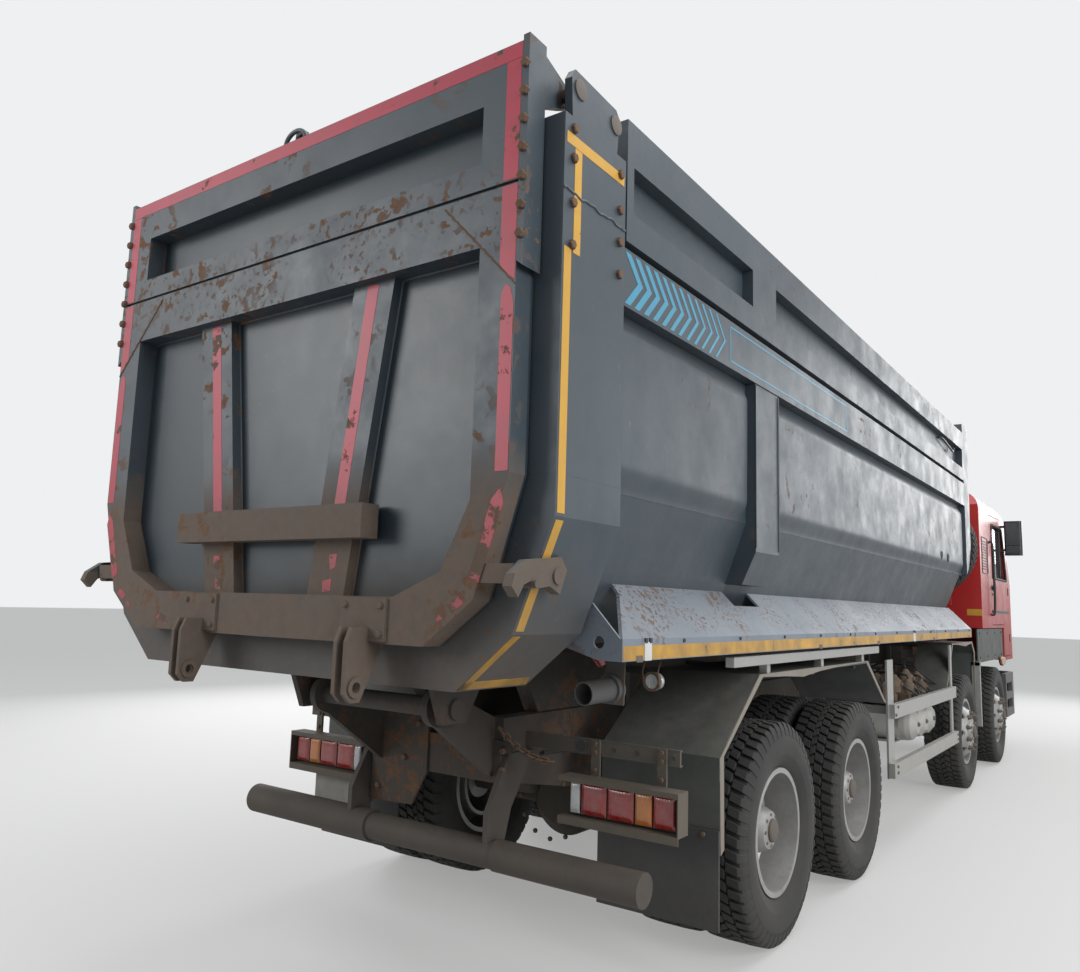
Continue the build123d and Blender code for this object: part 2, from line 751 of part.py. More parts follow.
def mud_flaps():
    """Rubber flaps behind the last axle, hung from the mudguards' rear feet."""
    back = mudguard_paths[0][2][0][0] - guard_sheet
    flap = block(guard_inner_x - 10, guard_outer_x, back - 12, back, 260, 660)
    return Compound(both_sides([flap]))


# Sleeves of the underrun bar: inner x, outer x, radius
underrun_sleeves = [(-1150.0, -290.0, 70.0), (-290.0, 450.0, 60.0), (450.0, 1150.0, 65.0)]


def underrun_bar():
    """Bar of three unlike tubes on two hangers from the rails."""
    tubes = [
        rod_x(x_low, x_high, underrun_y, underrun_z, radius)
        for x_low, x_high, radius in underrun_sleeves
    ]
    hanger = plate_x([
        (underrun_y - 40, underrun_z - 20), (underrun_y + 60, underrun_z - 20), (rail_rear_y + 40, 700),
        (rail_rear_y + 200, 930), (rail_rear_y + 10, 930), (underrun_y - 40, 700),
    ], rail_outer_x, rail_outer_x + 26)
    return joined(tubes + both_sides([hanger]))


# Lenses of a tail lamp from its inner end: width along X
tail_lens_widths = (54.0, 128.0, 128.0, 84.0, 102.0)
# Holes along the bar that carries a tail lamp: x, radius
lamp_bar_holes = [(698, 28), (865, 11), (975, 13), (1140, 11)]


def tail_lamp(beam_inner_x):
    """Right lamp: body with raised lenses in an angle-iron cage, hung by two bars from a beam."""
    y = tail_lamp_y
    beam = block(beam_inner_x, 1170, y - 12, y, 946, 1012)
    for x, radius in lamp_bar_holes:
        beam = beam - rod_y(y - 20, y + 10, x, 979, radius)
    pieces = [
        beam, block(650, 1212, y - 112, y - 24, 860, 865), block(650, 1212, y - 112, y - 107, 844, 865),
        block(650, 1212, y - 112, y - 24, 697, 702), block(650, 1212, y - 112, y - 107, 670, 702),
        block(1207, 1212, y - 112, y - 24, 697, 865),
        block(757, 800, y - 24, y - 12, 690, 1012),
        block(1073, 1115, y - 24, y - 12, 690, 1012),
        block(688, 1194, y - 70, y - 24, 710, 852),
    ]
    lens_x = 693.0
    for width in tail_lens_widths:
        pieces.append(block(lens_x + 3, lens_x + width - 3, y - 82, y - 70, 716, 846))
        lens_x += width
    return joined(pieces)


def tail_lamps():
    """Both tail lamps, the left one further in, and the blank plate hung below it."""
    y = tail_lamp_y
    right = tail_lamp(rail_outer_x)
    left = Pos(left_lamp_shift, 0, 0) * left_of(tail_lamp(rail_outer_x + left_lamp_shift))
    plate = block(-953, -593, y - 40, y - 34, 540, 655)
    plate_ears = [block(x, x + 30, y - 34, y - 24, 540, 697) for x in (-940, -636)]
    return joined([right, left, plate] + plate_ears)


def spare_carrier():
    """Stand behind the cab that holds the spare wheel upright, with the rim bolted to it."""
    back = spare_middle_y + tyre_width / 2 + 20
    hub_y = spare_middle_y + disc_offset - 14
    rim = Rot(0, 0, 90) * joined([rim_barrel(0), rim_disc(0, 1)])
    pieces = [
        block(rail_outer_x - 50, spare_x + 230, back, back + 60, rail_top_z, rail_top_z + 60),
        block(spare_x - 165, spare_x - 110, back, back + 60, rail_top_z + 60, spare_z + 60),
        block(spare_x + 110, spare_x + 165, back, back + 60, rail_top_z + 60, spare_z + 60),
        block(spare_x - 165, spare_x + 165, back, back + 60, spare_z - 60, spare_z + 60),
        rod_y(hub_y, back + 5, spare_x, spare_z, 110),
        block(rail_outer_x - 50, rail_outer_x, back - 60, back + 120, rail_top_z, rail_top_z + 60),
    ]
    return joined([Pos(spare_x, spare_middle_y, spare_z) * rim] + pieces)


def spare_tyre():
    """Tyre of the spare wheel."""
    return Pos(spare_x, spare_middle_y, spare_z) * (Rot(0, 0, 90) * tyre_ring(0))


# Load bed


def bend_point(angle, grow):
    """Point of the rounded corner between floor and side, at an angle in degrees from its foot."""
    radius = bed_bend_radius + grow
    turn = radians(angle)
    return bed_floor_half + radius * sin(turn), bed_floor_z + bed_bend_radius - radius * cos(turn)


def knee_point(grow):
    """Corner between the leaning and the upright part of the side."""
    foot = bend_point(bed_wall_lean, grow)
    lean = radians(bed_wall_lean)
    wall_x = bed_half_width + grow
    return wall_x, foot[1] + (wall_x - foot[0]) * sin(lean) / cos(lean)


def bed_section(grow, top_z):
    """Half-pipe section of the load space, grown outwards, up to top_z: face in the XZ plane."""
    foot, middle, end = (bend_point(share * bed_wall_lean, grow) for share in (0, 0.5, 1))
    knee = knee_point(grow)
    edges = [
        Line((0, foot[1]), foot), ThreePointArc(foot, middle, end), Line(end, knee), Line(
            knee, (knee[0], top_z),
        ),
        Line((knee[0], top_z), (0, top_z)), Line((0, top_z), (0, foot[1])),
    ]
    half = make_face(edges)
    return Plane.XZ * (half + mirror(half, about=Plane.YZ))


def bed_solid(grow, y_low, y_high, top_z):
    """Section of the load space carried from y_low to y_high."""
    return Pos(0, y_low, 0) * extrude(bed_section(grow, top_z), amount=y_high - y_low, dir=(0, 1, 0))


def front_line(inset):
    """Side view of the front wall from below the floor to above the top edge, raked below front_rake_z."""
    low_z = bed_floor_z - 130
    low_y = bed_front_y - front_rake * (front_rake_z - low_z) / (front_rake_z - bed_floor_z)
    return [(low_y - inset, low_z), (bed_front_y - inset, front_rake_z), (bed_front_y - inset, bed_top_z + 5)]


def bed_tub():
    """Half-pipe of floor, bent strips and sides, and the raked front wall, each sheet up to its weld seam."""
    rear_y = bed_rear_y + rear_flange_depth
    sides = bed_solid(bed_wall, rear_y, bed_front_y, bed_top_z) - bed_solid(
        0, rear_y - 5, bed_front_y + 5, bed_top_z + 5,
    )
    end = front_line(bed_wall + seam_gap)
    sides = sides & plate_x([(rear_y - 5, end[0][1])] + end + [(rear_y - 5, bed_top_z + 5)], -1300, 1300)
    seams = [
        weld_line(bend_point(angle, -10), bend_point(angle, bed_wall + 10))
        for angle in (0, 0.5 * bed_wall_lean, bed_wall_lean)
    ]
    seams.append(weld_line(knee_point(-10), knee_point(bed_wall + 10)))
    for seam in both_sides(seams):
        sides = sides - seam
    front = bed_solid(bed_wall, bed_front_y - 2 * front_rake, bed_front_y, bed_top_z)
    front = front & plate_x(front_line(bed_wall) + list(reversed(front_line(0))), -1300, 1300)
    break_seam = block(-1300, 1300, bed_front_y - 50, bed_front_y + 5, front_rake_z, front_rake_z + seam_gap)
    return Compound(list(sides.solids()) + list((front - break_seam).solids()))


def weld_line(inner, outer):
    """Thin cut along the whole bed through its sheet, between two points of its section."""
    run = hypot(outer[0] - inner[0], outer[1] - inner[1])
    side = ((outer[1] - inner[1]) / run * seam_gap / 2, (inner[0] - outer[0]) / run * seam_gap / 2)
    return plate_y([
        (inner[0] - side[0], inner[1] - side[1]), (outer[0] - side[0], outer[1] - side[1]),
        (outer[0] + side[0], outer[1] + side[1]), (inner[0] + side[0], inner[1] + side[1]),
    ], bed_rear_y - 5, bed_front_y + 5)


# Claw beside the tailgate's catch: (distance ahead of bed_rear_y, z), from the hook's tip up over the back
claw_x = 1202.0
claw_outline = [
    (-125, 1598), (-158, 1630), (-143, 1668), (-79, 1712), (97, 1730), (131, 1690), (94, 1612), (37, 1636), (
        -18, 1628,
    ),
    (-53, 1652), (-98, 1636),
]


def bed_side_frame():
    """Rear frame with corner posts and gate hinge plates, top bands and side ribs round the tub."""
    outline = mirrored([
        (0, rear_frame_low_z), (893, rear_frame_low_z), (1124, 1482), (frame_half_width, 1852),
        (frame_half_width, corner_post_top_z), (0, corner_post_top_z),
    ])
    frame = plate_y(outline, bed_rear_y, corner_post_front_y)
    flange = plate_y(outline, bed_rear_y, bed_rear_y + rear_flange_depth - seam_gap)
    flange = flange - bed_solid(-rear_flange_width, bed_rear_y - 5, bed_rear_y + 50, corner_post_top_z + 50)
    band = block(bed_half_width, side_outer_x, corner_post_front_y, bed_front_y, rail_band_low_z, bed_top_z)
    ribs = [
        plate_y([
            (bed_half_width - 80, rail_band_low_z), (side_outer_x - 5, rail_band_low_z), (
                side_outer_x - 5, 1853,
            ),
            (1180, 1700), (1060, 1700), (bed_half_width - 80, 1800),
        ], y_low, y_high)
        for y_low, y_high in side_rib_spans
    ]
    hinge_z = corner_post_top_z
    hinge = plate_x([
        (-2040, hinge_z), (-2050, hinge_z + 150), (-2030, hinge_z + 186), (-1760, hinge_z + 175), (
            -1735, hinge_z + 150,
        ),
        (-1750, hinge_z),
    ], hinge_plate_x, hinge_plate_x + 30)
    hinge = hinge - rod_x(
        hinge_plate_x - 5, hinge_plate_x + 35, gate_pin_y, gate_pin_z, gate_pin_radius + running_gap,
    )
    stay_pin = rod_x(
        hinge_plate_x - 30, hinge_plate_x + 36, gate_pin_y + 235, gate_pin_z - 12, gate_pin_radius,
    )
    claw = joined([
        plate_x([(bed_rear_y + dy, z) for dy, z in claw_outline], claw_x, claw_x + 36),
        rod_x(1150, claw_x + 44, bed_rear_y + 75, 1668, 26), rod_x(
            claw_x - 5, claw_x + 50, bed_rear_y - 48, 1640, 13,
        ),
    ])
    cut = bed_solid(bed_wall + running_gap, bed_rear_y - 5, bed_front_y + 5, corner_post_top_z + 50)
    whole = joined([frame] + both_sides([band, hinge, stay_pin, claw] + ribs)) - cut
    whole = whole + flange
    # Weld seams between the rear frame's sill, shoulders and posts, and at the ends of bands and ribs
    post_y = corner_post_front_y
    seams = [
        block(bed_floor_half, bed_floor_half + seam_gap, bed_rear_y - 5, post_y + 5, 1200, bed_bend_z),
        block(
            1150, frame_half_width + 5, bed_rear_y - 5, post_y + 5, bed_bend_z + 5,
            bed_bend_z + 5 + seam_gap,
        ),
        block(1150, 1300, post_y, post_y + seam_gap, rail_band_low_z - 5, bed_top_z + 5),
        block(1150, 1300, post_y + 5, bed_front_y, rail_band_low_z - seam_gap, rail_band_low_z),
    ]
    for seam in both_sides(seams):
        whole = whole - seam
    return whole


def bed_underframe():
    """Long beams, hoops under the tub and the plates that turn on the tipping shaft."""
    floor = bed_floor_z - bed_wall - running_gap
    low = subframe_top_z + bed_rest_gap
    raised = pivot_z + pivot_radius + 55
    beam = plate_x([
        (corner_post_front_y, floor + 5), (corner_post_front_y, raised), (rail_rear_y + 180, raised),
        (rail_rear_y + 280, low), (bed_front_y - 400, low), (bed_front_y - front_rake - 20, floor - 120),
        (bed_front_y - front_rake - 20, floor + 5),
    ], bed_beam_x - 80, bed_beam_x)
    ear = plate_x([
        (corner_post_front_y, floor + 5), (corner_post_front_y, rear_frame_low_z), (
            pivot_y - 70, pivot_z - 58,
        ),
        (pivot_y + 70, pivot_z - 58), (pivot_y + 170, raised), (pivot_y + 170, floor + 5),
    ], rail_outer_x + 2, rail_outer_x + 34)
    ear = ear - rod_x(rail_outer_x, rail_outer_x + 40, pivot_y, pivot_z, pivot_radius + running_gap)
    web = block(bed_beam_x, rail_outer_x + 4, corner_post_front_y, pivot_y + 170, raised + 40, floor + 5)
    hoops = []
    for y in hoop_ys:
        hoop = bed_solid(hoop_depth, y - 45, y + 45, hoop_top_z)
        hoops.append(hoop & block(-hoop_half_width, hoop_half_width, y - 50, y + 50, 1200, hoop_top_z))
    cut = bed_solid(bed_wall + running_gap, corner_post_front_y - 5, bed_front_y + 5, hoop_top_z + 50)
    return joined(both_sides([beam, ear, web]) + hoops) - cut


def bed_extension():
    """Raised side: sheet with rails, divider and end caps, standing on the tub's edge."""
    x_in, x_out = bed_half_width, side_outer_x
    rear, front = extension_rear_y, bed_front_y
    side = joined([
        block(x_in, x_in + bed_wall, rear, front, bed_top_z, extension_top_z),
        block(x_in, x_out, rear, front, bed_top_z + 30, bed_top_z + 150),
        block(x_in, x_out, rear, front, extension_top_z - 173, extension_top_z),
        block(x_in, x_out, -435, -126, bed_top_z + 30, extension_top_z),
        block(x_in, x_out, rear, rear + 50, bed_top_z + 30, extension_top_z),
        block(x_in, x_out, front - 45, front, bed_top_z + 30, extension_top_z),
    ])
    return Compound(both_sides([side]))


def bed_headboard():
    """Upper front wall with posts and top beam, and the bracket that the hoist's head pushes against."""
    y = bed_front_y
    pieces = [
        block(-bed_half_width, bed_half_width, y - bed_wall, y, bed_top_z, headboard_top_z - 60),
        block(-side_outer_x, side_outer_x, y, y + 90, headboard_top_z - 130, headboard_top_z),
        block(-600, 600, y, y + 80, hoist_head_z - 180, hoist_head_z + 180),
    ]
    side_pieces = [
        plate_x([
            (y, 1990), (y + 110, 2060), (y + 250, 2300), (y + 250, headboard_top_z), (y, headboard_top_z),
        ], bed_half_width - 20, side_outer_x),
        block(560, 640, y, y + 70, front_rake_z, headboard_top_z - 130),
    ]
    arm = plate_x([
        (y + 80, hoist_head_z - 170), (hoist_head_y - 110, hoist_head_z - 84), (
            hoist_head_y + 115, hoist_head_z - 84,
        ),
        (hoist_head_y + 115, hoist_head_z + 70), (y + 80, hoist_head_z + 170),
    ], head_arm_x, head_arm_x + 35)
    slot = Pos(head_arm_x - 1, 0, 0) * extrude(Plane.YZ * pocket_face(), amount=37, dir=(1, 0, 0))
    return joined(pieces + both_sides(side_pieces + [arm - slot]))


def pocket_face():
    """Pocket that seats the hoist's head pin and is open below, where the pin drifts while the bed tips."""
    path = [(0, 0), (22, -40), (30, -70), (30, -200), (-5, -200), (-5, -30)]
    face = make_face(Polyline(*[(hoist_head_y + dy, hoist_head_z + dz) for dy, dz in path], close=True))
    return offset(face, amount=hoist_pin_radius + running_gap, kind=Kind.ARC)


def bed_skirts():
    """Sloped side skirts with an upright edge, cut back at the rear, and their end plates."""
    skirt = plate_y(strip_outline([
        (1050, skirt_bend_z + skirt_edge_x - 1050), (skirt_edge_x, skirt_bend_z), (skirt_edge_x, skirt_low_z),
    ], -skirt_sheet), skirt_rear_y, bed_front_y - 10)
    cut_back = plate_x([
        (skirt_rear_y - 5, skirt_bend_z), (skirt_rear_y, skirt_bend_z), (skirt_rear_y + 240, 1625), (
            skirt_rear_y + 270, 1720,
        ),
        (skirt_rear_y + 270, 1800), (skirt_rear_y - 5, 1800),
    ], 1000, 1300)
    lip = block(
        skirt_edge_x - 50, skirt_edge_x, skirt_rear_y, bed_front_y - 10, skirt_low_z,
        skirt_low_z + skirt_sheet,
    )
    end_plate = plate_y([
        (1010, 1440), (1180, skirt_low_z), (skirt_edge_x - skirt_sheet, skirt_low_z),
        (skirt_edge_x - skirt_sheet, skirt_bend_z), (1150, 1590), (1080, 1600),
    ], skirt_rear_y, skirt_rear_y + 10)
    end_plate = end_plate - rod_y(skirt_rear_y - 5, skirt_rear_y + 15, 1180, 1455, 22)
    front_plate = Pos(0, bed_front_y - 20 - skirt_rear_y, 0) * end_plate
    cut = bed_solid(bed_wall + running_gap, corner_post_front_y, bed_front_y + 5, 1900)
    side = joined([skirt - cut_back, lip, end_plate, front_plate]) - cut
    for rib in side_rib_spans:
        side = side - block(1050, 1300, rib[0] - 6, rib[1] + 6, 1600, 1800)
    return Compound(both_sides([side]))


# Tailgate

# Right half of the gate's outline, from the middle of its lower edge up
gate_half_outline = [
    (0, gate_low_z), (843, gate_low_z + 4), (917, gate_low_z + 60), (1044, gate_low_z + 155), (
        gate_half_width, bed_bend_z,
    ),
    (gate_half_width, gate_top_z), (0, gate_top_z),
]
# Windows of the frame: right halves
upper_window = [
    (0, gate_band_top_z), (1010, gate_band_top_z), (1010, gate_top_z - 185), (0, gate_top_z - 185),
]
lower_window = [
    (0, 1590), (700, 1590), (906, 1676), (1018, 1900), (1018, gate_band_low_z), (0, gate_band_low_z),
]


def gate_panel():
    """Plate of the tailgate."""
    return plate_y(mirrored(gate_half_outline), gate_front_y - gate_plate, gate_front_y)


def gate_frame():
    """Deep frame round two recessed fields, with side flanges, hinge arms, pins, lower lugs and top ring."""
    sheet_y = gate_front_y - gate_plate
    frame = plate_y(mirrored(gate_half_outline), gate_back_y, sheet_y)
    for window in (upper_window, lower_window):
        frame = frame - plate_y(mirrored(window), gate_back_y - 5, sheet_y + 5)
    seam = block(
        -gate_half_width - 1, gate_half_width + 1, gate_back_y - 1, gate_back_y + gate_seam_depth,
        gate_seam_z, gate_seam_z + gate_seam_height,
    )
    flange = plate_y([
        (gate_half_width, gate_top_z - 760), (gate_half_width + gate_flange, gate_top_z - 780),
        (gate_half_width + gate_flange, gate_top_z + 20), (gate_half_width, gate_top_z + 20),
    ], gate_back_y, gate_front_y)
    arm = plate_x([
        (gate_front_y - 2, gate_pin_z - 95), (gate_front_y - 2, gate_pin_z + 90), (
            gate_pin_y, gate_pin_z + 50,
        ),
        (gate_pin_y + 42, gate_pin_z + 20), (gate_pin_y + 42, gate_pin_z - 25), (
            gate_pin_y - 10, gate_pin_z - 50,
        ),
    ], gate_half_width, gate_half_width + gate_flange)
    pin = rod_x(gate_half_width + 20, hinge_plate_x + 36, gate_pin_y, gate_pin_z, gate_pin_radius)
    catch = block(1040, claw_x - 10, gate_back_y + 4, gate_back_y + 50, 1640, 1700)
    ring = plate_y(
        [(-35, gate_top_z), (35, gate_top_z), (28, gate_top_z + 55), (-28, gate_top_z + 55)], -2165,
        -2145,
    )
    ring = ring - rod_y(-2170, -2140, 0, gate_top_z + 30, 14)
    pieces = [frame - seam, ring]
    for middle_x in gate_lug_xs:
        pieces.append(block(middle_x - 110, middle_x + 110, gate_back_y - 10, gate_back_y, 1440, 1585))
        for x in (middle_x - 32, middle_x + 16):
            lug = plate_x([
                (gate_back_y, 1487), (gate_lug_reach_y + 20, 1487), (gate_lug_reach_y, 1440), (
                    gate_lug_reach_y, 1270,
                ),
                (gate_lug_reach_y + 30, 1240), (gate_back_y - 30, 1240), (gate_back_y, 1300), (
                    gate_back_y + 60, 1432,
                ),
                (gate_back_y + 60, 1487),
            ], x, x + 16)
            pieces.append(lug - rod_x(x - 1, x + 17, gate_lug_reach_y + 45, 1290, 18))
    return joined(pieces + both_sides([flange, arm, pin, catch]))


def gate_bars():
    """Two leaning posts and the cross bar over the lower field."""
    sheet_y = gate_front_y - gate_plate
    outline = [(220, 1590), (415, 1590), (590, gate_band_low_z), (380, gate_band_low_z)]
    post = plate_y(outline, gate_back_y + 40, sheet_y)
    bar = block(-550, 550, gate_back_y - 20, gate_back_y + 60, 1790, 1911)
    return joined(both_sides([post]) + [bar])


# Hoist: telescopic cylinder from the frame to the headboard, worked out along its own axis

hoist_closed = hypot(hoist_head_y - hoist_foot_y, hoist_head_z - hoist_foot_z)
barrel_length = hoist_closed - barrel_to_head_pin
hoist_lean = degrees(atan2(hoist_foot_y - hoist_head_y, hoist_head_z - hoist_foot_z))


def turned_about_pivot(y, z, angle):
    """Place of a point of the bed when the bed is tipped."""
    dy, dz = y - pivot_y, z - pivot_z
    turn = radians(angle)
    return pivot_y + dy * cos(turn) - dz * sin(turn), pivot_z + dy * sin(turn) + dz * cos(turn)


raised_head_y, raised_head_z = turned_about_pivot(hoist_head_y, hoist_head_z, tip_angle)
hoist_open = hypot(raised_head_y - hoist_foot_y, raised_head_z - hoist_foot_z)
hoist_open_lean = degrees(atan2(hoist_foot_y - raised_head_y, raised_head_z - hoist_foot_z))
stage_count = 4
stage_travel = (hoist_open - hoist_closed) / stage_count
stage_wall = 12.5
stage_gap = 0.5


def along_hoist(shape):
    """Stand a shape made along Z on the hoist's foot, leaning with it."""
    return Pos(0, hoist_foot_y, hoist_foot_z) * Rot(hoist_lean, 0, 0) * shape


def hoist_barrel():
    """Outer tube with its foot eye on the foot pin."""
    tube = Pos(0, 0, (barrel_length + 30) / 2) * Cylinder(barrel_radius, barrel_length - 30)
    bore = Pos(0, 0, 90 + barrel_length / 2) * Cylinder(barrel_radius - stage_wall - 2, barrel_length)
    collar = Pos(0, 0, barrel_length - 40) * (Cylinder(barrel_radius + 14, 60) - Cylinder(barrel_radius - 2, 70))
    eye = Rot(0, 90, 0) * Cylinder(hoist_pin_radius + 25, 2 * barrel_radius)
    shape = joined([tube - bore, collar, eye]) - Rot(0, 90, 0) * Cylinder(hoist_pin_radius + running_gap, 300)
    return along_hoist(shape)


def hoist_stage(index):
    """One inner tube; the last is solid and carries the head with its cross pin."""
    outer = barrel_radius - stage_wall - 2 - stage_gap - (stage_wall + stage_gap) * index
    low = 95 + 6 * index
    top = barrel_length + 12 + 14 * index
    tube = Pos(0, 0, (low + top) / 2) * Cylinder(outer, top - low)
    if index < stage_count - 1:
        shape = tube - Pos(0, 0, (low + 6 + top) / 2) * Cylinder(outer - stage_wall, top - low - 6 + 1)
        rim = Pos(0, 0, top - 6) * (Cylinder(outer + 6, 10) - Cylinder(outer - 2, 12))
        return along_hoist(joined([shape, rim]))
    head = Pos(0, 0, hoist_closed) * Rot(0, 90, 0) * Cylinder(hoist_pin_radius + 22, 2 * head_arm_x - 10)
    neck = Pos(0, 0, (top + hoist_closed) / 2) * Cylinder(outer - 4, hoist_closed - top)
    pin = Pos(0, 0, hoist_closed) * Rot(0, 90, 0) * Cylinder(hoist_pin_radius, 2 * head_arm_x + 90)
    return along_hoist(joined([tube, neck, head, pin]))


# Cab

# Side outline of the cab from its rear foot round over the roof: (y, z)
cab_outline = [
    (cab_rear_y, cab_low_z), (cab_rear_y, 2790), (cab_rear_y + 90, cab_roof_z - 30), (
        cab_rear_y + 900, cab_roof_z,
    ),
    (cab_front_y - 680, cab_roof_z - 5), (cab_front_y - 510, cab_roof_z - 70), (screen_foot_y, screen_foot_z),
    (cab_front_y, 1640), (cab_front_y, cab_nose_low_z), (step_rear_y, cab_nose_low_z), (
        step_rear_y, cab_low_z,
    ),
]
# Door's outline, clear of the wheel arch and running up beside the windscreen pillar
door_outline = [
    (6640, 1500), (6640, 2740), (7500, 2760), (7600, 2720), (7905, 2020), (7905, 1130), (7480, 1130), (
        7480, 1500,
    ),
]
side_window = [(6760, 2030), (6760, 2640), (7470, 2650), (7540, 2610), (7790, 2030)]


def cab_solid():
    """Whole outside of the cab, rounded at its corners."""
    body = plate_x(cab_outline, -cab_half_width, cab_half_width)
    eave = (cab_half_width, cab_roof_z - 210)
    crown = (cab_half_width - 230, cab_roof_z)
    edges = [
        Line((0, bumper_low_z), (cab_half_width, bumper_low_z)), Line((cab_half_width, bumper_low_z), eave),
        TangentArc(eave, crown, tangent=(0, 1)), Line(crown, (0, cab_roof_z)), Line(
            (0, cab_roof_z), (0, bumper_low_z),
        ),
    ]
    half = make_face(edges)
    front_view = Plane.XZ * (half + mirror(half, about=Plane.YZ))
    through = cab_front_y - cab_rear_y + 20
    body = body & (Pos(0, cab_rear_y - 10, 0) * extrude(front_view, amount=through, dir=(0, 1, 0)))
    fronts = body.edges().filter_by(Axis.Z).filter_by(lambda e: abs(e.center().Y - cab_front_y) < 1)
    body = fillet(fronts, 110)
    return body


def cab_walls():
    """Outside less the hollow inside."""
    w = cab_wall
    hollow = plate_x([
        (cab_rear_y + w, cab_low_z + w), (cab_rear_y + w, 2760), (cab_rear_y + 130, cab_roof_z - w - 30),
        (cab_front_y - 700, cab_roof_z - w - 5), (cab_front_y - 560, cab_roof_z - w - 70), (
            screen_foot_y - w - 14, screen_foot_z,
        ),
        (cab_front_y - w - 50, 1640), (cab_front_y - w - 50, cab_nose_low_z + w), (
            step_rear_y + w, cab_nose_low_z + w,
        ),
        (step_rear_y + w, cab_low_z + w),
    ], -cab_half_width + w, cab_half_width - w)
    return cab_solid() - hollow


def door_prism(grow):
    """Right-hand door's outline, grown or shrunk, through the side wall only."""
    face = make_face(Polyline(*door_outline, close=True))
    if grow != 0:
        face = offset(face, amount=grow, kind=Kind.INTERSECTION)
    prism = extrude(Plane.YZ * face, amount=cab_wall + 40, dir=(1, 0, 0))
    return Pos(cab_half_width - cab_wall - 1, 0, 0) * prism


def screen_slab(depth_in, depth_out, half_width, margin):
    """Slab along the windscreen's slope, between two depths below the outer face."""
    top = (cab_front_y - 510, cab_roof_z - 70)
    foot = (screen_foot_y, screen_foot_z)
    run = hypot(foot[0] - top[0], foot[1] - top[1])
    along = ((foot[0] - top[0]) / run, (foot[1] - top[1]) / run)
    inward = (along[1], -along[0])
    corners = []
    for point, step, depth in (
        (top, margin, depth_out), (foot, -margin, depth_out), (foot, -margin, depth_in), (
            top, margin, depth_in,
        ),
    ):
        corners.append((
            point[0] + along[0] * step + inward[0] * depth, point[1] + along[1] * step + inward[1] * depth))
    return plate_x(corners, -half_width, half_width)


def cab_shell():
    """Floor, rear wall, roof, nose and pillars, with doorways and windscreen cut out, and its hinge lugs."""
    shell = cab_walls() - door_prism(0) - left_of(door_prism(0))
    shell = shell - screen_slab(cab_wall + 60, -40, screen_half_width, 70)
    lug = plate_x([
        (cab_hinge_y - 45, cab_nose_low_z + 5), (cab_hinge_y - 36, cab_hinge_z - 34), (
            cab_hinge_y + 36, cab_hinge_z - 34,
        ),
        (cab_hinge_y + 45, cab_nose_low_z + 5),
    ], rail_outer_x + 6, rail_outer_x + 36)
    lug = lug - rod_x(rail_outer_x, rail_outer_x + 50, cab_hinge_y, cab_hinge_z, cab_pin_radius + running_gap)
    return joined([shell] + both_sides([lug]))


def cab_glass():
    """Windscreen in its frame."""
    return screen_slab(26 + glass_thickness, 26, screen_half_width, 70)


def cab_trim():
    """Grille with its slats, and the sun visor over the windscreen."""
    y = cab_front_y
    surround = block(-grille_half_width, grille_half_width, y, y + 12, 1150, 1610)
    field = block(-grille_half_width + 45, grille_half_width - 45, y - 1, y + 13, 1190, 1575)
    slats = [
        block(-grille_half_width + 45, grille_half_width - 45, y, y + 10, z, z + 44) for z in grille_slat_zs
    ]
    grille = joined([surround - field] + slats)
    visor = plate_x(strip_outline([
        (cab_front_y - 560, cab_roof_z + 3), (cab_front_y - 300, cab_roof_z - 60), (
            cab_front_y - 230, cab_roof_z - 230,
        ),
    ], 14), -1050, 1050)
    brackets = [
        block(x, x + 30, cab_front_y - 620, cab_front_y - 480, cab_roof_z - 110, cab_roof_z + 22) for x in (-700, 670)
    ]
    return Compound([grille, joined([visor] + brackets) - cab_solid()])


def cab_interior():
    """Two seats, a bunk, and the dashboard with the steering wheel on the left."""
    floor = cab_low_z + cab_wall
    seat = joined([
        plate_x([(6760, floor), (7180, floor), (7120, floor + 260), (6800, floor + 260)], 430, 790),
        plate_x(
            [(6740, floor + 260), (7260, floor + 260), (7280, floor + 400), (6740, floor + 380)], 370,
            850,
        ),
        plate_x(
            [(6700, floor + 380), (6830, floor + 380), (6740, floor + 1080), (6650, floor + 1080)], 370,
            850,
        ),
    ])
    bunk = block(-1150, 1150, cab_rear_y + cab_wall, cab_rear_y + 620, floor, floor + 330)
    dash = plate_x([
        (7620, floor), (7800, floor), (7990, floor + 330), (7990, floor + 440), (7640, floor + 500), (
            7560, floor + 420,
        ),
        (7560, floor + 300),
    ], -1130, 1130)
    inner_x = cab_half_width - cab_wall - running_gap
    dash_ends = block(-inner_x, inner_x, 7915, 7990, floor + 320, floor + 440)
    wheel = Pos(-600, 7360, floor + 560) * Rot(-32, 0, 0) * Torus(215, 16)
    hub = Pos(-600, 7360, floor + 560) * Rot(-32, 0, 0) * Cylinder(60, 36)
    spokes = [
        Pos(-600, 7360, floor + 560) * Rot(-32, 0, 0) * Rot(0, 0, angle) * Box(430, 34, 12)
        for angle in (0, 90)
    ]
    column = Pos(-600, 7360, floor + 560) * Rot(-32, 0, 0) * Pos(0, 0, -150) * Cylinder(38, 300)
    return Compound([seat, left_of(seat), bunk, joined([dash, dash_ends, column, wheel, hub] + spokes)])


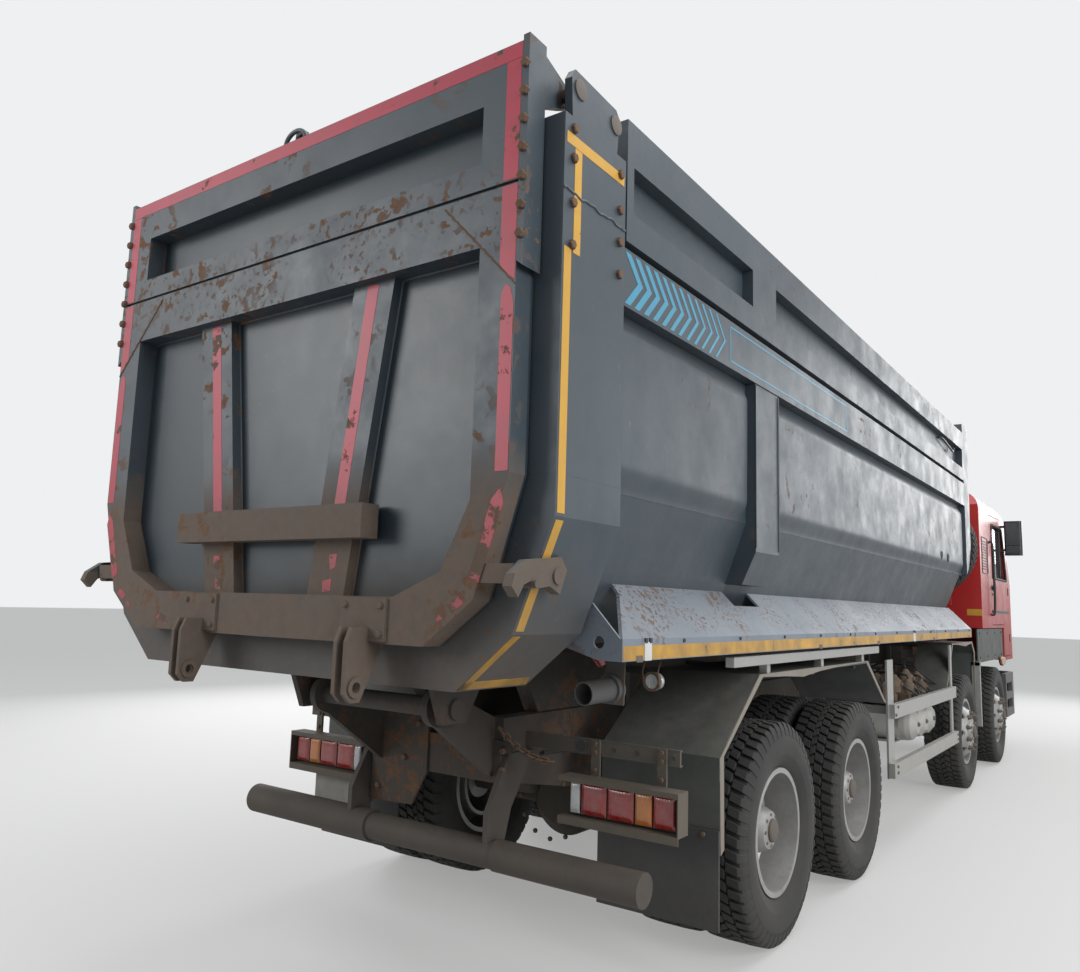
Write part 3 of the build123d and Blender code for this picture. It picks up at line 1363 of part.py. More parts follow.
def door():
    """Right-hand door with its mirror on two arms."""
    panel = cab_walls() & door_prism(-door_gap)
    window = make_face(Polyline(*side_window, close=True))
    hole = Pos(cab_half_width - cab_wall - 5, 0, 0) * extrude(
        Plane.YZ * window, amount=cab_wall + 10, dir=(1, 0, 0),
    )
    arms = [block(cab_half_width - 6, mirror_x + 20, 7470, 7500, z, z + 26) for z in (2380, 2664)]
    head = block(mirror_x, mirror_x + 190, 7440, 7530, 2330, 2740)
    head = fillet(head.edges().filter_by(Axis.Z), 30)
    handle = block(cab_half_width - 2, cab_half_width + 28, 6690, 6850, 1900, 1935)
    hinges = [rod_z(z, z + 90, door_hinge_x, door_hinge_y, 8) for z in (1300, 1860)]
    return joined([panel - hole, head, handle] + arms + hinges)


def door_glass():
    """Pane in the right-hand door."""
    window = make_face(Polyline(*side_window, close=True))
    return Pos(cab_half_width - 34, 0, 0) * extrude(Plane.YZ * window, amount=glass_thickness, dir=(1, 0, 0))


# Every node of the truck, by name


def wheel_nodes():
    """Tyres, rims and knuckles of all eight wheel stations."""
    nodes = {}
    for name, y in (("1", axle_1_y), ("2", axle_2_y)):
        place = Pos(0, y, tyre_radius)
        nodes["tyre_" + name + "_r"] = place * tyre_ring(front_wheel_x)
        nodes["rim_" + name + "_r"] = place * (Pos(front_wheel_x, 0, 0) * front_rim())
        nodes["knuckle_" + name + "_r"] = knuckle(y)
    for name, y in (("3", axle_3_y), ("4", axle_4_y)):
        place = Pos(0, y, tyre_radius)
        twins = [tyre_ring(twin_outer_x), tyre_ring(twin_outer_x - twin_spacing)]
        nodes["tyres_" + name + "_r"] = place * Compound(twins)
        nodes["rims_" + name + "_r"] = place * (Pos(twin_outer_x, 0, 0) * twin_rims())
    for name in list(nodes):
        nodes[name[:-1] + "l"] = left_of(nodes[name])
    return nodes


def all_nodes():
    """Every node with its solids."""
    nodes = wheel_nodes()
    nodes["front_axles"] = Compound([front_axle(axle_1_y), front_axle(axle_2_y)])
    nodes["rear_axles"] = Compound([rear_axle(axle_3_y), rear_axle(axle_4_y)])
    nodes["leaf_springs"] = Compound(
        both_sides([front_spring(axle_1_y), front_spring(axle_2_y), rear_spring()]),
    )
    nodes["chassis_frame"] = chassis_frame()
    nodes["drive_line"] = drive_line()
    nodes["front_bumper"] = front_bumper()
    nodes["front_lamps"] = front_lamps()
    nodes["fuel_tank"] = fuel_tank()
    nodes["air_tanks"] = air_tanks()
    nodes["side_guards"] = side_guards()
    nodes["mudguards"] = mudguards()
    nodes["mud_flaps"] = mud_flaps()
    nodes["underrun_bar"] = underrun_bar()
    nodes["tail_lamps"] = tail_lamps()
    nodes["spare_carrier"] = spare_carrier()
    nodes["spare_tyre"] = spare_tyre()
    nodes["cab_shell"] = cab_shell()
    nodes["cab_glass"] = cab_glass()
    nodes["cab_trim"] = cab_trim()
    nodes["cab_interior"] = cab_interior()
    nodes["door_r"] = door()
    nodes["door_l"] = left_of(nodes["door_r"])
    nodes["door_glass_r"] = door_glass()
    nodes["door_glass_l"] = left_of(nodes["door_glass_r"])
    nodes["bed_tub"] = bed_tub()
    nodes["bed_side_frame"] = bed_side_frame()
    nodes["bed_underframe"] = bed_underframe()
    nodes["bed_extension"] = bed_extension()
    nodes["bed_headboard"] = bed_headboard()
    nodes["bed_skirts"] = bed_skirts()
    nodes["gate_panel"] = gate_panel()
    nodes["gate_frame"] = gate_frame()
    nodes["gate_bars"] = gate_bars()
    nodes["hoist_barrel"] = hoist_barrel()
    for index in range(stage_count):
        nodes["hoist_stage_" + str(index + 1)] = hoist_stage(index)
    return nodes


os.makedirs("parts", exist_ok=True)
for node, shape in all_nodes().items():
    export_step(Pos(0, -length_middle_y, 0) * shape, "parts/" + node + ".step")
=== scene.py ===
import json
import bpy
import numpy as np
from math import pi, radians
from mathutils import Matrix, Vector

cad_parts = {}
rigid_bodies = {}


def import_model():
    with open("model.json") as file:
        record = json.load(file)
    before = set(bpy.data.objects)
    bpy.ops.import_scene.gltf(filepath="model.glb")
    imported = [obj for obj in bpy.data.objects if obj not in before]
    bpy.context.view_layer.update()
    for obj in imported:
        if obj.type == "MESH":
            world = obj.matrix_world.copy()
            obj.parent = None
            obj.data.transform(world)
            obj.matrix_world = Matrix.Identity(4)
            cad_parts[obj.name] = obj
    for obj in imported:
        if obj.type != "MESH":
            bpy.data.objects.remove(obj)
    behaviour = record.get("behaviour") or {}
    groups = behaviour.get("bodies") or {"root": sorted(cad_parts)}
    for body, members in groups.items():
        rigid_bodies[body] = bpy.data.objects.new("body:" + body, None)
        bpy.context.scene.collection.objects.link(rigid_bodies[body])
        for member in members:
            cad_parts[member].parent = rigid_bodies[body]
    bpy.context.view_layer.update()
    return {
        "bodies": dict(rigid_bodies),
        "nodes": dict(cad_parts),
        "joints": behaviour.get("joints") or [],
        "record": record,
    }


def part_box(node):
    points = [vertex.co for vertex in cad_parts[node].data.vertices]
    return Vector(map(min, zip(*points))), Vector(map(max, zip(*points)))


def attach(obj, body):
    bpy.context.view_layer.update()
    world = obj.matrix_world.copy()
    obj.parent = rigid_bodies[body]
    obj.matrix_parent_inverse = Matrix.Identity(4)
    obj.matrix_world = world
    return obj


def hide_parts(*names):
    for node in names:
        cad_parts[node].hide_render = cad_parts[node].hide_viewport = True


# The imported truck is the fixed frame: metres, +X its right, +Y forward, +Z up
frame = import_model()
nodes = frame["nodes"]
print("truck frame loaded:", len(nodes), "nodes")


def addObject(name, data):
    thing = bpy.data.objects.new(name, data)
    bpy.context.collection.objects.link(thing)
    return thing


# Camera of the photograph, standing behind the truck and to its right; angles in degrees
photoCamera = {"place": (2.7833, -7.2489, 1.5783), "yaw": 35.637, "pitch": 7.792, "roll": 1.702,
    "lens": 28.92, "sensor": 36.0, "clipEnd": 200.0}


def aimCamera(s):
    yaw, pitch, roll = (radians(s[k]) for k in ("yaw", "pitch", "roll"))
    ahead = Vector((-np.sin(yaw) * np.cos(pitch), np.cos(yaw) * np.cos(pitch), np.sin(pitch)))
    right = Vector((np.cos(yaw), np.sin(yaw), 0.0))
    up = right.cross(ahead)
    rolledRight = right * np.cos(roll) + up * np.sin(roll)
    rolledUp = up * np.cos(roll) - right * np.sin(roll)
    data = bpy.data.cameras.new("photoCamera")
    data.lens, data.sensor_width, data.clip_end = s["lens"], s["sensor"], s["clipEnd"]
    camera = addObject("photoCamera", data)
    turn = Matrix((rolledRight, rolledUp, -ahead)).transposed()
    camera.matrix_world = Matrix.Translation(s["place"]) @ turn.to_4x4()
    bpy.context.scene.camera = camera


aimCamera(photoCamera)

# Soft studio round the truck. Lights: (name, place, aimed at, size in metres, watts)
studio = {
    "lights": (
        ("skyPanel", (1.0, -1.0, 9.5), (0.0, -1.0, 1.0), 9.0, 620.0),
        ("sidePanel", (9.0, -5.0, 5.0), (0.8, -1.0, 1.6), 5.0, 520.0),
        ("rearPanel", (-5.0, -11.0, 4.5), (0.0, -4.5, 1.6), 4.0, 260.0),
        ("leftPanel", (-9.0, 2.0, 5.0), (-0.8, 1.0, 1.6), 5.0, 420.0),
        ("frontPanel", (3.0, 12.0, 5.0), (0.0, 5.0, 1.6), 5.0, 380.0),
    ),
    "floorHalf": 80.0, "floorColour": (0.37, 0.37, 0.365), "floorRough": 0.9, "floorGlow": 0.32,
    "glowColour": (1.0, 1.0, 0.99), "worldColour": (0.8, 0.83, 0.87), "worldStrength": 0.42,
    "backdropColour": (0.86, 0.87, 0.88),
}


def seenRays(tree, value):
    # The value where a ray comes from the camera, a gloss or a glass, else nothing
    rays = tree.nodes.new("ShaderNodeLightPath")
    socket = rays.outputs["Is Camera Ray"]
    steps = (("MAXIMUM", rays.outputs["Is Glossy Ray"]), ("MAXIMUM", rays.outputs["Is Transmission Ray"]),
        ("MULTIPLY", value))
    for operation, second in steps:
        node = tree.nodes.new("ShaderNodeMath")
        node.operation = operation
        tree.links.new(socket, node.inputs[0])
        if operation == "MULTIPLY":
            node.inputs[1].default_value = second
        else:
            tree.links.new(second, node.inputs[1])
        socket = node.outputs[0]
    return socket


def studioSetup(s):
    for name, place, target, size, watts in s["lights"]:
        data = bpy.data.lights.new(name, "AREA")
        data.size, data.energy = size, watts
        aim = (Vector(target) - Vector(place)).to_track_quat("-Z", "Y")
        addObject(name, data).matrix_world = Matrix.Translation(place) @ aim.to_matrix().to_4x4()
    half = s["floorHalf"]
    floorMesh = bpy.data.meshes.new("studioFloor")
    floorMesh.from_pydata([(-half, -half, 0), (half, -half, 0), (half, half, 0), (-half, half, 0)], [],
        [(0, 1, 2, 3)])
    paint = bpy.data.materials.new("studioFloor")
    paint.use_nodes = True
    shader = paint.node_tree.nodes["Principled BSDF"]
    shader.inputs["Base Color"].default_value = (*s["floorColour"], 1)
    shader.inputs["Roughness"].default_value = s["floorRough"]
    # Seen directly, in gloss or through glass the floor glows a little, so it stays pale far from the lamps
    shader.inputs["Emission Color"].default_value = (*s["glowColour"], 1)
    glow = seenRays(paint.node_tree, s["floorGlow"])
    paint.node_tree.links.new(glow, shader.inputs["Emission Strength"])
    floorMesh.materials.append(paint)
    floor = addObject("studioFloor", floorMesh)
    # The world lights the truck with one plain tone and shows the camera a paler one
    world = bpy.data.worlds.new("studioWorld")
    bpy.context.scene.world = world
    world.use_nodes = True
    tree = world.node_tree
    tree.nodes.clear()
    out, mix = tree.nodes.new("ShaderNodeOutputWorld"), tree.nodes.new("ShaderNodeMixShader")
    for slot, colour, strength in ((1, s["worldColour"], s["worldStrength"]),
            (2, s["backdropColour"], 1.0)):
        tone = tree.nodes.new("ShaderNodeBackground")
        tone.inputs["Color"].default_value = (*colour, 1)
        tone.inputs["Strength"].default_value = strength
        tree.links.new(tone.outputs[0], mix.inputs[slot])
    tree.links.new(seenRays(tree, 1.0), mix.inputs["Fac"])
    tree.links.new(mix.outputs[0], out.inputs[0])


studioSetup(studio)
bpy.context.scene.view_settings.view_transform = "Standard"
print("camera, floor and lights ready")


class Finish:
    # One material on the truck's own coordinates; its methods add nodes and give back the result's socket
    def __init__(self, name):
        self.material = bpy.data.materials.new(name)
        self.material.use_nodes = True
        self.tree = self.material.node_tree
        self.shader = self.tree.nodes["Principled BSDF"]
        self.coordinates = self.tree.nodes.new("ShaderNodeTexCoord")
        self.place = self.coordinates.outputs["Object"]
        self.splits = {}

    def node(self, kind, source=None, **values):
        # A node with its first socket linked and the named sockets set
        node = self.tree.nodes.new("ShaderNode" + kind)
        if source is not None:
            self.tree.links.new(source, node.inputs[0])
        for key, value in values.items():
            node.inputs[key].default_value = value
        return node

    def set(self, **values):
        for key, value in values.items():
            socket = self.shader.inputs[key.replace("_", " ")]
            socket.default_value = (*value, 1) if isinstance(value, tuple) else value

    def link(self, source, socketName):
        self.tree.links.new(source, self.shader.inputs[socketName])

    def feed(self, node, index, value):
        if hasattr(value, "is_output"):
            self.tree.links.new(value, node.inputs[index])
        else:
            node.inputs[index].default_value = (*value, 1) if isinstance(value, tuple) else value

    def noise(self, scale, detail=4.0, roughness=0.6, stretch=None):
        place = self.node("Mapping", self.place, Scale=stretch).outputs[0] if stretch else self.place
        return self.node("TexNoise", place, Scale=scale, Detail=detail, Roughness=roughness).outputs["Fac"]

    def axis(self, letter, kind="Object"):
        # One number of the place, or of the face's own direction, which doesn't change with the piece's pose
        if kind not in self.splits:
            self.splits[kind] = self.node("SeparateXYZ", self.coordinates.outputs[kind])
        return self.splits[kind].outputs[letter]

    def faceUp(self):
        return self.node("SeparateXYZ", self.node("NewGeometry").outputs["Normal"]).outputs["Z"]

    def maths(self, operation, first, second=0.0):
        node = self.node("Math")
        node.operation = operation
        self.feed(node, 0, first)
        self.feed(node, 1, second)
        return node.outputs[0]

    def span(self, value, low, high, outLow=0.0, outHigh=1.0):
        # Straight line from outLow at low to outHigh at high, held flat outside
        node = self.node("MapRange")
        for index, item in enumerate((value, low, high, outLow, outHigh)):
            self.feed(node, index, item)
        return node.outputs[0]

    def fade(self, value, low, high):
        return self.span(value, low, high, 1.0, 0.0)

    def clouds(self, scale, detail, roughness, low, high, outLow=0.0, outHigh=1.0):
        return self.span(self.noise(scale, detail, roughness), low, high, outLow, outHigh)

    def both(self, first, second):
        return self.maths("MULTIPLY", first, second)

    def either(self, first, second):
        return self.maths("MAXIMUM", first, second)

    def mixed(self, amount, first, second):
        node = self.node("Mix")
        node.data_type = "RGBA"
        self.feed(node, 0, amount)
        for index, item in ((6, first), (7, second)):
            self.feed(node, index, (item, item, item) if isinstance(item, float) else item)
        return node.outputs[2]

    def ragged(self, scale, amount):
        # The height above the floor, shifted up and down by a noise
        return self.maths("ADD", self.axis("Z"), self.both(self.maths("SUBTRACT",
            self.noise(scale, 5.0, 0.65), 0.5), amount))

    def bumped(self, height, depth, strength):
        node = self.node("Bump", Strength=strength, Distance=depth)
        self.tree.links.new(height, node.inputs["Height"])
        self.tree.links.new(node.outputs[0], self.shader.inputs["Normal"])


def steelLayers(f, s):
    # Paint with cloudy tone, fine scratches, rust spots that thicken below mudTop, and dust on upward faces
    paint = f.mixed(f.clouds(0.9, 5.0, 0.6, 0.35, 0.7), s["paint"], s["paintWorn"])
    lines = f.span(f.noise(3.0, 8.0, 0.75, s["scratchStretch"]), 0.62, 0.7)
    scratches = f.both(lines, f.clouds(38.0, 2.0, 0.6, 0.45, 0.62))
    paint = f.mixed(f.both(scratches, s["scratches"]), paint, s["scratchTone"])
    # Mud sprayed upwards fades out at mudTop
    height = f.ragged(1.3, s["mudRagged"])
    mud = f.both(f.fade(height, s["mudLow"], s["mudTop"]), s["mud"])
    if "frontMud" in s:
        # More of it towards the front of the bed, on its lower slope
        front = f.both(f.span(f.axis("Y"), 0.4, 1.9), f.fade(height, 1.72, 2.1))
        mud = f.either(mud, f.both(front, s["frontMud"]))
    if "clawWear" in s:
        # The claws are worn brown: they stand out past the frame's shoulder, |x| - 0.408 z > 0.5205
        past = f.maths("SUBTRACT", f.maths("ABSOLUTE", f.axis("X")), f.both(f.axis("Z"), 0.408))
        mud = f.either(mud, f.both(f.span(past, 0.5203, 0.5225), s["clawWear"]))
    paint = f.mixed(f.both(mud, f.clouds(22.0, 6.0, 0.7, 0.25, 0.75, 0.55)), paint, s["mudTone"])
    # Rust shows where a coarse noise allows it and a fine one breaks it up
    patches = f.clouds(s["rustScale"], 3.0, 0.5, s["rustFrom"], s["rustFrom"] + 0.12)
    chips = f.clouds(s["rustScale"] * 9.0, 5.0, 0.62, s["chipFrom"], s["chipFrom"] + 0.025)
    rust = f.both(f.both(patches, chips), s["rust"])
    if "chipBand" in s:
        # A band of small chips between two heights, thinned by a coarse noise
        low, high = s["chipBand"]
        band = f.both(f.span(f.axis("Z"), low, low + 0.03), f.fade(f.axis("Z"), high, high + 0.03))
        small = f.both(f.clouds(s["chipSize"], 3.0, 0.55, 0.565, 0.6), f.clouds(3.2, 3.0, 0.6, 0.4, 0.55))
        rust = f.either(rust, f.both(band, small))
    colour = f.mixed(rust, paint, f.mixed(f.noise(60.0, 3.0), s["rustDark"], s["rustLight"]))
    dust = f.both(f.span(f.faceUp(), 0.25, 0.95), s["dust"])
    dust = f.both(dust, f.clouds(7.0, 6.0, 0.7, 0.3, 0.7, 0.45))
    if "plasticFrom" in s:
        # Mirrors, arms and handles stand out beyond plasticFrom from the middle and are black plastic
        out = f.span(f.maths("ABSOLUTE", f.axis("X")), s["plasticFrom"], s["plasticFrom"] + 0.0005)
        colour = f.mixed(out, colour, s["plasticTone"])
    low, high = s["rough"] - 0.8 * s["roughSpread"], s["rough"] + 1.2 * s["roughSpread"]
    rough = f.mixed(f.either(f.either(rust, mud), dust), f.clouds(5.0, 6.0, 0.7, 0.3, 0.7, low, high), 0.88)
    grain = f.maths("ADD", f.both(f.noise(140.0, 3.0), 0.25), f.both(f.maths("SUBTRACT", 1.0, rust), 0.6))
    relief = f.maths("ADD", grain, f.both(f.noise(0.8, 2.0), s["waves"]))
    return f.mixed(dust, colour, s["dustTone"]), rough, relief


def paintedSteel(name, changes, inside=None):
    # The slate paint of the bed with some settings changed, and with other settings again on the inside
    f = Finish(name)
    colour, rough, relief = steelLayers(f, {**slate, **changes})
    if inside:
        # Outside is where the face looks away from the middle, down or forwards: n.x sign(x) + n.y - n.z > 0
        away = f.both(f.axis("X", "Normal"), f.maths("SIGN", f.axis("X")))
        away = f.maths("SUBTRACT", f.maths("ADD", away, f.axis("Y", "Normal")), f.axis("Z", "Normal"))
        within = f.fade(away, -0.05, 0.05)
        innerColour, innerRough = steelLayers(f, {**slate, **inside})[:2]
        colour, rough = f.mixed(within, colour, innerColour), f.mixed(within, rough, innerRough)
    f.link(colour, "Base Color")
    f.link(rough, "Roughness")
    f.bumped(relief, 0.0012, 0.7)
    f.set(Metallic=0.0)
    return f.material


slate = {
    "paint": (0.038, 0.053, 0.066), "paintWorn": (0.055, 0.073, 0.088),
    "scratches": 0.55, "scratchTone": (0.16, 0.17, 0.18), "scratchStretch": (1.0, 9.0, 2.0),
    "mudLow": 1.25, "mudTop": 1.75, "mud": 0.75, "mudRagged": 0.5, "mudTone": (0.085, 0.066, 0.05),
    "rustScale": 1.6, "rustFrom": 0.55, "chipFrom": 0.6, "chipSize": 30.0, "rust": 0.9,
    "rustDark": (0.07, 0.035, 0.02), "rustLight": (0.19, 0.1, 0.055),
    "dust": 0.65, "dustTone": (0.2, 0.19, 0.18),
    "rough": 0.42, "roughSpread": 0.1, "waves": 2.0, "plasticTone": (0.02, 0.02, 0.021),
}
steelPaints = {
    "bodyPaint": {"clawWear": 0.95, "mudTone": (0.15, 0.112, 0.082)},
    "gatePaint": {"mudLow": 1.88, "mudTop": 2.12, "mud": 0.96, "mudRagged": 0.22,
        "mudTone": (0.172, 0.122, 0.088), "rustFrom": 0.46, "chipFrom": 0.565, "rust": 1.0,
        "rustLight": (0.22, 0.12, 0.065), "scratchStretch": (6.0, 1.0, 2.0), "chipBand": (2.7, 3.03),
        "dustTone": (0.19, 0.14, 0.1)},
    # The gate's recessed fields: their paint is darker than the frame's slate, and this darkening is painted
    # shade
    "shadedGateField": {"paint": (0.021, 0.033, 0.043), "paintWorn": (0.03, 0.045, 0.056), "rustFrom": 0.62,
        "chipFrom": 0.66, "mudLow": 1.56, "mud": 0.6, "scratches": 0.35, "scratchStretch": (3.0, 1.0, 7.0),
        "waves": 0.7, "rough": 0.36, "roughSpread": 0.035},
    "muddyFrame": {"paint": (0.03, 0.03, 0.031), "paintWorn": (0.045, 0.042, 0.04), "mudLow": 0.6,
        "mudTop": 1.9, "mud": 0.85, "rustFrom": 0.45, "chipFrom": 0.52, "rough": 0.6, "waves": 0.5},
    "innerSteel": {"mudTop": 1.6, "mud": 0.5, "frontMud": 0.7, "rustFrom": 0.6, "chipFrom": 0.64},
    "skirtPaint": {"paint": (0.155, 0.185, 0.225), "paintWorn": (0.235, 0.27, 0.31), "mudLow": 1.0,
        "mudTop": 1.4, "mud": 0.4, "rustFrom": 0.5, "chipFrom": 0.57, "scratchTone": (0.34, 0.36, 0.38),
        "rough": 0.45, "dust": 0.35, "chipBand": (1.475, 1.75), "chipSize": 62.0},
    "cabRed": {"paint": (0.42, 0.02, 0.02), "paintWorn": (0.36, 0.028, 0.024), "scratches": 0.12,
        "mudLow": 0.7, "mudTop": 1.6, "mud": 0.55, "rust": 0.0, "rough": 0.36, "waves": 0.3, "dust": 0.3,
        "plasticFrom": 1.2263},
}
bedInside = {"paint": (0.12, 0.105, 0.09), "paintWorn": (0.17, 0.155, 0.14), "mudLow": 1.3, "mudTop": 2.6,
    "mud": 0.8, "mudTone": (0.15, 0.115, 0.085), "rustFrom": 0.44, "chipFrom": 0.53, "rust": 0.6,
    "rustLight": (0.15, 0.1, 0.07), "scratches": 0.9, "rough": 0.5}
finishes = {name: paintedSteel(name, s, bedInside if name == "innerSteel" else None)
    for name, s in steelPaints.items()}
print("steel finishes ready")


def dustyFinish(name, tone, toneWorn, dustBelow, dustAbove, dustTone, rough, cloud=2.5, dustTop=1.4,
        grain=160.0, grainDepth=0.0006, metal=0.0):
    # Plain stuff with a cloudy tone, dust that gathers low down and on upward faces, and a fine grain
    f = Finish(name)
    plain = f.mixed(f.clouds(cloud, 5.0, 0.65, 0.3, 0.7), tone, toneWorn)
    low = f.both(f.fade(f.ragged(2.3, 0.5), 0.3, dustTop), dustBelow)
    flat = f.both(f.span(f.faceUp(), 0.2, 0.95), dustAbove)
    dust = f.both(f.either(low, flat), f.clouds(18.0, 6.0, 0.7, 0.25, 0.7, 0.4))
    f.link(f.mixed(dust, plain, dustTone), "Base Color")
    f.link(f.mixed(dust, f.clouds(9.0, 5.0, 0.6, 0.3, 0.7, rough - 0.06, rough + 0.1), 0.9), "Roughness")
    f.bumped(f.noise(grain, 4.0, 0.6), grainDepth, 0.7)
    f.set(Metallic=metal)
    return f.material


# Tone, worn tone, dust below and above, dust's tone, roughness, and what differs from the usual
dustyStuffs = {
    "tyreRubber": ((0.018, 0.018, 0.019), (0.036, 0.035, 0.034), 0.28, 0.2, (0.105, 0.098, 0.088), 0.78,
        {"grain": 90.0, "grainDepth": 0.0012, "dustTop": 1.5}),
    "rimSteel": ((0.5, 0.51, 0.52), (0.38, 0.38, 0.37), 0.42, 0.35, (0.2, 0.165, 0.13), 0.38,
        {"metal": 0.55, "cloud": 6.0}),
    "hubIron": ((0.1, 0.095, 0.09), (0.17, 0.14, 0.11), 0.6, 0.4, (0.15, 0.122, 0.096), 0.7,
        {"cloud": 9.0}),
    "guardPlastic": ((0.034, 0.041, 0.038), (0.078, 0.088, 0.084), 0.45, 0.75, (0.19, 0.175, 0.155), 0.6,
        {}),
    "blackPlastic": ((0.018, 0.018, 0.019), (0.032, 0.032, 0.033), 0.3, 0.3, (0.13, 0.12, 0.11), 0.5,
        {"grain": 300.0}),
    "flapRubber": ((0.022, 0.023, 0.025), (0.042, 0.043, 0.045), 0.5, 0.4, (0.12, 0.11, 0.1), 0.7, {}),
    "railAluminium": ((0.46, 0.455, 0.435), (0.42, 0.42, 0.41), 0.35, 0.5, (0.26, 0.235, 0.2), 0.42,
        {"metal": 0.8, "dustTop": 1.1}),
    "edgeStrip": ((0.3, 0.285, 0.25), (0.24, 0.215, 0.18), 0.6, 0.7, (0.22, 0.18, 0.14), 0.6,
        {"metal": 0.3}),
    "tankWhite": ((0.66, 0.66, 0.64), (0.52, 0.51, 0.48), 0.4, 0.45, (0.3, 0.26, 0.21), 0.45, {}),
    "chassisIron": ((0.028, 0.028, 0.03), (0.065, 0.055, 0.045), 0.75, 0.85, (0.105, 0.086, 0.068), 0.65,
        {"dustTop": 1.9}),
    "dustyPlate": ((0.4, 0.4, 0.37), (0.27, 0.25, 0.22), 0.5, 0.4, (0.17, 0.145, 0.12), 0.6,
        {"cloud": 5.0}),
    "rustySteel": ((0.105, 0.06, 0.04), (0.165, 0.1, 0.062), 0.6, 0.6, (0.15, 0.12, 0.092), 0.85,
        {"dustTop": 2.4, "grainDepth": 0.0015, "cloud": 12.0}),
    "castIron": ((0.185, 0.125, 0.082), (0.26, 0.2, 0.15), 0.4, 0.5, (0.17, 0.14, 0.11), 0.75,
        {"dustTop": 2.4, "grainDepth": 0.0012, "cloud": 10.0}),
    "lampIron": ((0.08, 0.075, 0.062), (0.115, 0.095, 0.074), 0.6, 0.8, (0.155, 0.125, 0.095), 0.7,
        {"cloud": 8.0}),
    "bumperGrey": ((0.075, 0.077, 0.08), (0.1, 0.1, 0.102), 0.5, 0.5, (0.19, 0.175, 0.15), 0.55, {}),
    "seatCloth": ((0.04, 0.042, 0.048), (0.06, 0.062, 0.068), 0.0, 0.1, (0.2, 0.19, 0.18), 0.9,
        {"grain": 420.0, "grainDepth": 0.0015}),
    "hoistChrome": ((0.52, 0.52, 0.53), (0.4, 0.39, 0.38), 0.0, 0.3, (0.2, 0.18, 0.15), 0.22,
        {"metal": 1.0}),
    "mirrorGlass": ((0.085, 0.105, 0.11), (0.06, 0.072, 0.075), 0.1, 0.5, (0.1, 0.1, 0.1), 0.16,
        {"metal": 0.35, "grainDepth": 0.0001}),
}
for name, (*usual, special) in dustyStuffs.items():
    finishes[name] = dustyFinish(name, *usual, **special)


def tapeFinish(name, tone, toneWorn, tearScale, tearFrom, grimeLow, grimeTop, below, belowWorn):
    # Reflective tape with a fine comb pattern, torn where a coarse noise is high, with paint or rust below
    f = Finish(name)
    comb = f.node("TexVoronoi", f.place, Scale=180.0)
    comb.feature = "DISTANCE_TO_EDGE"
    comb = f.span(comb.outputs["Distance"], 0.0, 0.08, 0.8, 1.0)
    tape = f.mixed(comb, toneWorn, f.mixed(f.clouds(6.0, 5.0, 0.6, 0.3, 0.7), tone, toneWorn))
    lost = f.clouds(tearScale, 7.0, 0.68, tearFrom, tearFrom + 0.02)
    grime = f.both(f.fade(f.axis("Z"), grimeLow, grimeTop), f.clouds(9.0, 6.0, 0.6, 0.3, 0.65))
    torn = f.mixed(lost, tape, f.mixed(f.noise(16.0, 5.0), below, belowWorn))
    f.link(f.mixed(f.both(grime, 0.75), torn, below), "Base Color")
    f.link(f.mixed(lost, 0.42, 0.85), "Roughness")
    f.bumped(f.maths("SUBTRACT", 1.0, lost), 0.0008, 0.6)
    return f.material


# Tone, worn tone, scale and start of the tears, heights of the grime, and the two tones below
rustBelow = ((0.095, 0.066, 0.05), (0.15, 0.1, 0.07))
paintBelow = ((0.05, 0.07, 0.09), (0.07, 0.09, 0.11))
tapes = {
    "redTape": ((0.52, 0.035, 0.07), (0.4, 0.045, 0.07), 7.0, 0.6, 1.45, 2.2, *rustBelow),
    "scrapedTape": ((0.5, 0.035, 0.06), (0.36, 0.045, 0.06), 6.0, 0.5, 1.45, 2.0, *rustBelow),
    "amberTape": ((0.66, 0.36, 0.03), (0.55, 0.3, 0.045), 9.0, 0.66, 1.2, 1.9, *rustBelow),
    "blueTape": ((0.05, 0.3, 0.46), (0.06, 0.25, 0.38), 12.0, 0.74, 1.0, 1.1, *paintBelow),
    "whiteTape": ((0.7, 0.72, 0.72), (0.58, 0.59, 0.58), 9.0, 0.66, 1.0, 1.2, *rustBelow),
}
for name, settings in tapes.items():
    finishes[name] = tapeFinish(name, *settings)


def lensFinish(name, tone, clear):
    # Ribbed plastic lens: fine upright flutes as bump, a little dust low down
    f = Finish(name)
    flutes = f.node("TexWave", f.place, Scale=26.0)
    f.link(f.mixed(f.both(f.clouds(30.0, 5.0, 0.6, 0.4, 0.7), 0.35), tone, (0.2, 0.17, 0.14)), "Base Color")
    f.bumped(flutes.outputs["Fac"], 0.0012, 0.6)
    f.set(Roughness=0.18, Coat_Weight=0.6, Transmission_Weight=clear)
    return f.material


def windowFinish(name):
    # Tinted glass, mostly clear, with a film of dust
    f = Finish(name)
    f.link(f.mixed(f.both(f.clouds(4.0, 6.0, 0.6, 0.3, 0.7), 0.3), (0.1, 0.13, 0.13), (0.24, 0.23, 0.21)),
        "Base Color")
    f.set(Roughness=0.05, Alpha=0.55, Metallic=0.0, IOR=1.5, Coat_Weight=0.5)
    f.material.surface_render_method = "BLENDED"
    return f.material


finishes["redLens"] = lensFinish("redLens", (0.3, 0.008, 0.008), 0.0)
finishes["amberLens"] = lensFinish("amberLens", (0.56, 0.165, 0.012), 0.0)
finishes["clearLens"] = lensFinish("clearLens", (0.72, 0.74, 0.75), 0.25)
finishes["windowGlass"] = windowFinish("windowGlass")
print("all finishes ready")

